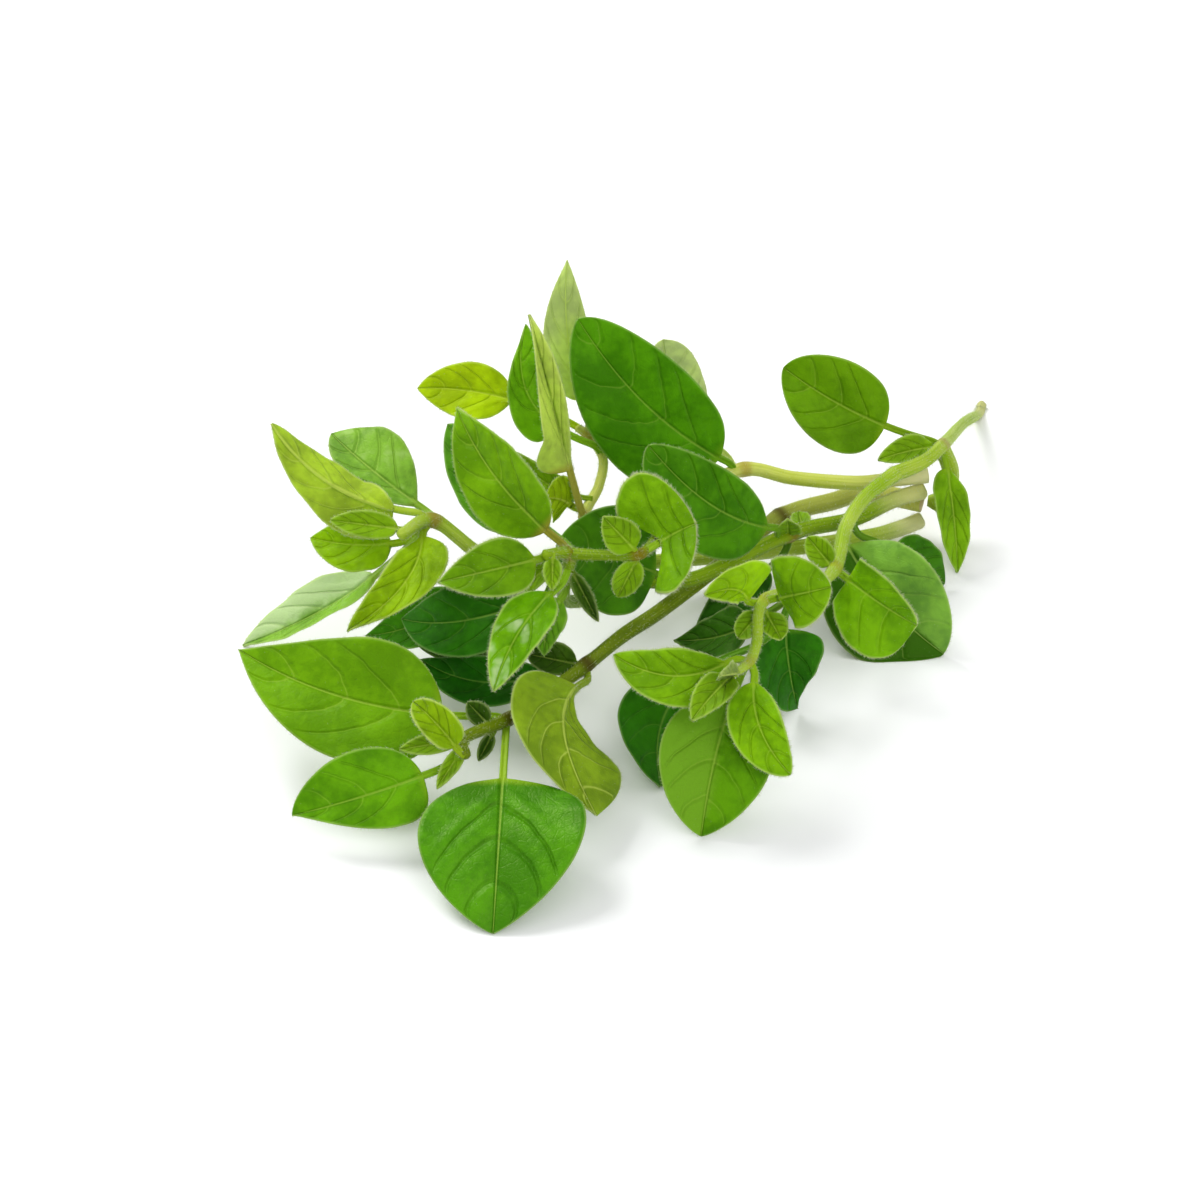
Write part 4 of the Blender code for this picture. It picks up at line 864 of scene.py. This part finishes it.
# Leaves of the middle stem: the highest crown of young leaves, with a small side shoot at its right and
# dark leaves below, whose green is darkened with painted shade.
leaf("middle_tall", MIDDLE_NODE, (-18.5, 4.9, 39.8), (-0.43, -0.8, 0.41), 10.6, "fresh_green", (113, 175, 2),
     arch=1.9, sweep=-0.7, petiole=0.09, powers=(0.6, 1), fuzz=12, stalk_colour=(160, 150, 50))
leaf("middle_tall_back", (-3.5, -6.5, 25), (-20, 9, 34.3), (-0.38, -0.74, 0.55), 10.9, "deep_green",
     (85, 164, 25), arch=1.5, sweep=-0.5, petiole=0.16, powers=(0.54, 0.84), fuzz=6, down=0.8)
leaf("middle_left", (-6, -12, 28.5), (-20.6, -15.3, 26.8), (0.07, -0.69, 0.72), 7.7, "fresh_green",
     (96, 153, 2), arch=1.9, sweep=-0.3, petiole=0.03, powers=(0.52, 0.97), fuzz=20, down=1.2,
     rim=0.7, pairs=3.0)
# middle_down: its patches are painted highlights, pale glossy blotches painted into its colour.
leaf("middle_down", (-4.5, -11.5, 25), (-13.5, -24.3, 16.2), (-0.13, -0.49, 0.86), 6.9, "middle_green",
     (113, 188, 2), arch=2.2, sweep=0.5, petiole=0.08, powers=(0.51, 0.87), rough=0.35,
     patches=((218, 236, 184), 0.36), fuzz=20, down=1.2, rim=0.8, pairs=3.0)
leaf("middle_low", (-4.4, -8.2, 20.2), (-26.3, -2.9, 11.1), (-0.42, -0.62, 0.66), 10.2, "shaded_green",
     (27, 116, 1), arch=2.5, sweep=-2.3, powers=(0.55, 0.84), **SPARSE)
leaf("middle_under", (-4.3, -8.9, 22), (-7.2, -13.9, 13.6), (0.16, -0.88, 0.45), 4.3, "shaded_green",
     (102, 168, 30), arch=0.7, sweep=0.9, petiole=0.05, powers=(0.51, 0.92), fuzz=6)
leaf("side_round", (5.6, -10.4, 28.2), (12.2, -9.7, 31.9), (-0.31, -0.65, 0.69), 17, "fresh_green",
     (124, 188, 5), arch=0.1, sweep=-0.1, folds=(20, 20), petiole=0.03, clear=2.6, powers=(0.66, 0.57),
     right_powers=(0.58, 0.71), lean=-0.07, shoulder=5.1, fuzz=26, down=1.5, pairs=3.0, slant=0.7, rim=0.85,
     quilt=0.3, relief=0.0005, side_vein=(98, 164, 5), vein_share=0.25)


# Leaves of the top stem: upright ones at the back, one narrow and folded, a large dark one in the middle.
leaf("top_pale", (-1.4, 24, 22.6), (-4.4, 33.1, 44.4), (0.08, -0.91, 0.4), 6.6, "underside_green",
     (238, 248, 176), arch=0, sweep=-1.3, petiole=0.11, powers=(0.55, 1.03), right_powers=(0.72, 0.92), lean=-0.11,
     under=True, back=(186, 216, 96), through=0.55, fuzz=7)
leaf("top_folded", (-2.3, 12.9, 15.9), (-9.5, 25.6, 40.6), (0.06, -0.88, 0.47), 7, "underside_green",
     (204, 232, 99), arch=0.5, sweep=-0.1, folds=(60, 26), petiole=0.18, powers=(0.35, 1.58),
     right_powers=(1.07, 0.91), lean=-0.36, fuzz=9, stalk_colour=(176, 164, 66))
leaf("top_dark", (-0.5, 20.8, 20.6), (-10.1, 30.1, 36.1), (-0.37, -0.84, 0.4), 7.6, "deep_green",
     (113, 190, 8), arch=1.6, sweep=-3.9, twist=10, petiole=0.22, powers=(0.29, 1.58), right_powers=(0.57, 0.68),
     lean=-0.04, fuzz=6, down=0.8)
leaf("top_left", (-2, 24.2, 23.2), (-25.4, 33.5, 23.2), (-0.24, -0.72, 0.65), 8.2, "yellow_green",
     (192, 225, 4), arch=0.2, sweep=1.4, petiole=0.4, powers=(0.61, 0.84), right_powers=(0.59, 0.86), through=0.35,
     fuzz=8)
leaf("top_large", (19, 26.2, 14.3), (-3, 26.8, 39.1), (0.17, -0.95, 0.24), 16.4, "deep_green", (75, 157, 2),
     arch=2, sweep=-1.8, petiole=0.05, powers=(0.43, 0.72), right_powers=(0.52, 0.58), lean=-0.1, fuzz=5, down=0.8,
     pairs=4.5)
# top_behind: its pale grey-blue is its own green with the white room's reflection painted in.
leaf("top_behind", (18, 28, 14), (8.7, 35.3, 30.1), (0.18, -0.86, 0.49), 8.6, "bluish_green", (217, 232, 165),
     arch=0.5, sweep=-2.1, petiole=0.17, powers=(0.47, 0.59), right_powers=(0.63, 0.41), lean=0.04, fuzz=6,
     rough=0.35, through=0.4)
leaf("top_low", (-1.4, 14.8, 15.9), (-7.2, 14.4, 18.3), (0.1, -0.8, 0.6), 6.6, "underside_green",
     (160, 200, 11), arch=0.3, sweep=0.3, folds=(0, 5), petiole=0.05, clear=2.9, powers=(0.64, 0.96),
     right_powers=(0.71, 0.72), under=True, back=(96, 140, 20), fuzz=10)


# Leaves in the middle of the heap, on the nodes of the stems that pass below them. The two dark ones are
# darkened with painted shade.
leaf("heap_large", (25.3, 13.7, 12.6), (6.4, 10.5, 29.8), (0.42, -0.83, 0.37), 11.8, "deep_green",
     (68, 145, 1), arch=2.4, sweep=-2.3, petiole=0.07, powers=(0.54, 0.6), right_powers=(0.59, 0.65), lean=-0.13,
     fuzz=7, down=0.9, pairs=4.5)
leaf("heap_dark", (10.4, 5, 11.4), (-5.7, 0, 21.2), (-0.1, -0.6, 0.8), 15.4, "shaded_green", (51, 121, 1),
     arch=0.9, sweep=0.2, folds=(8, 8), petiole=0.06, clear=3, powers=(0.5, 0.5), right_powers=(0.45, 0.7),
     lean=-0.05, **SPARSE)
leaf("heap_dark_right", (26, 16.2, 8), (12.7, 4.8, 1.6), (0, -0.5, 0.85), 6, "shaded_green", (6, 75, 1),
     arch=0.3, **SPARSE)
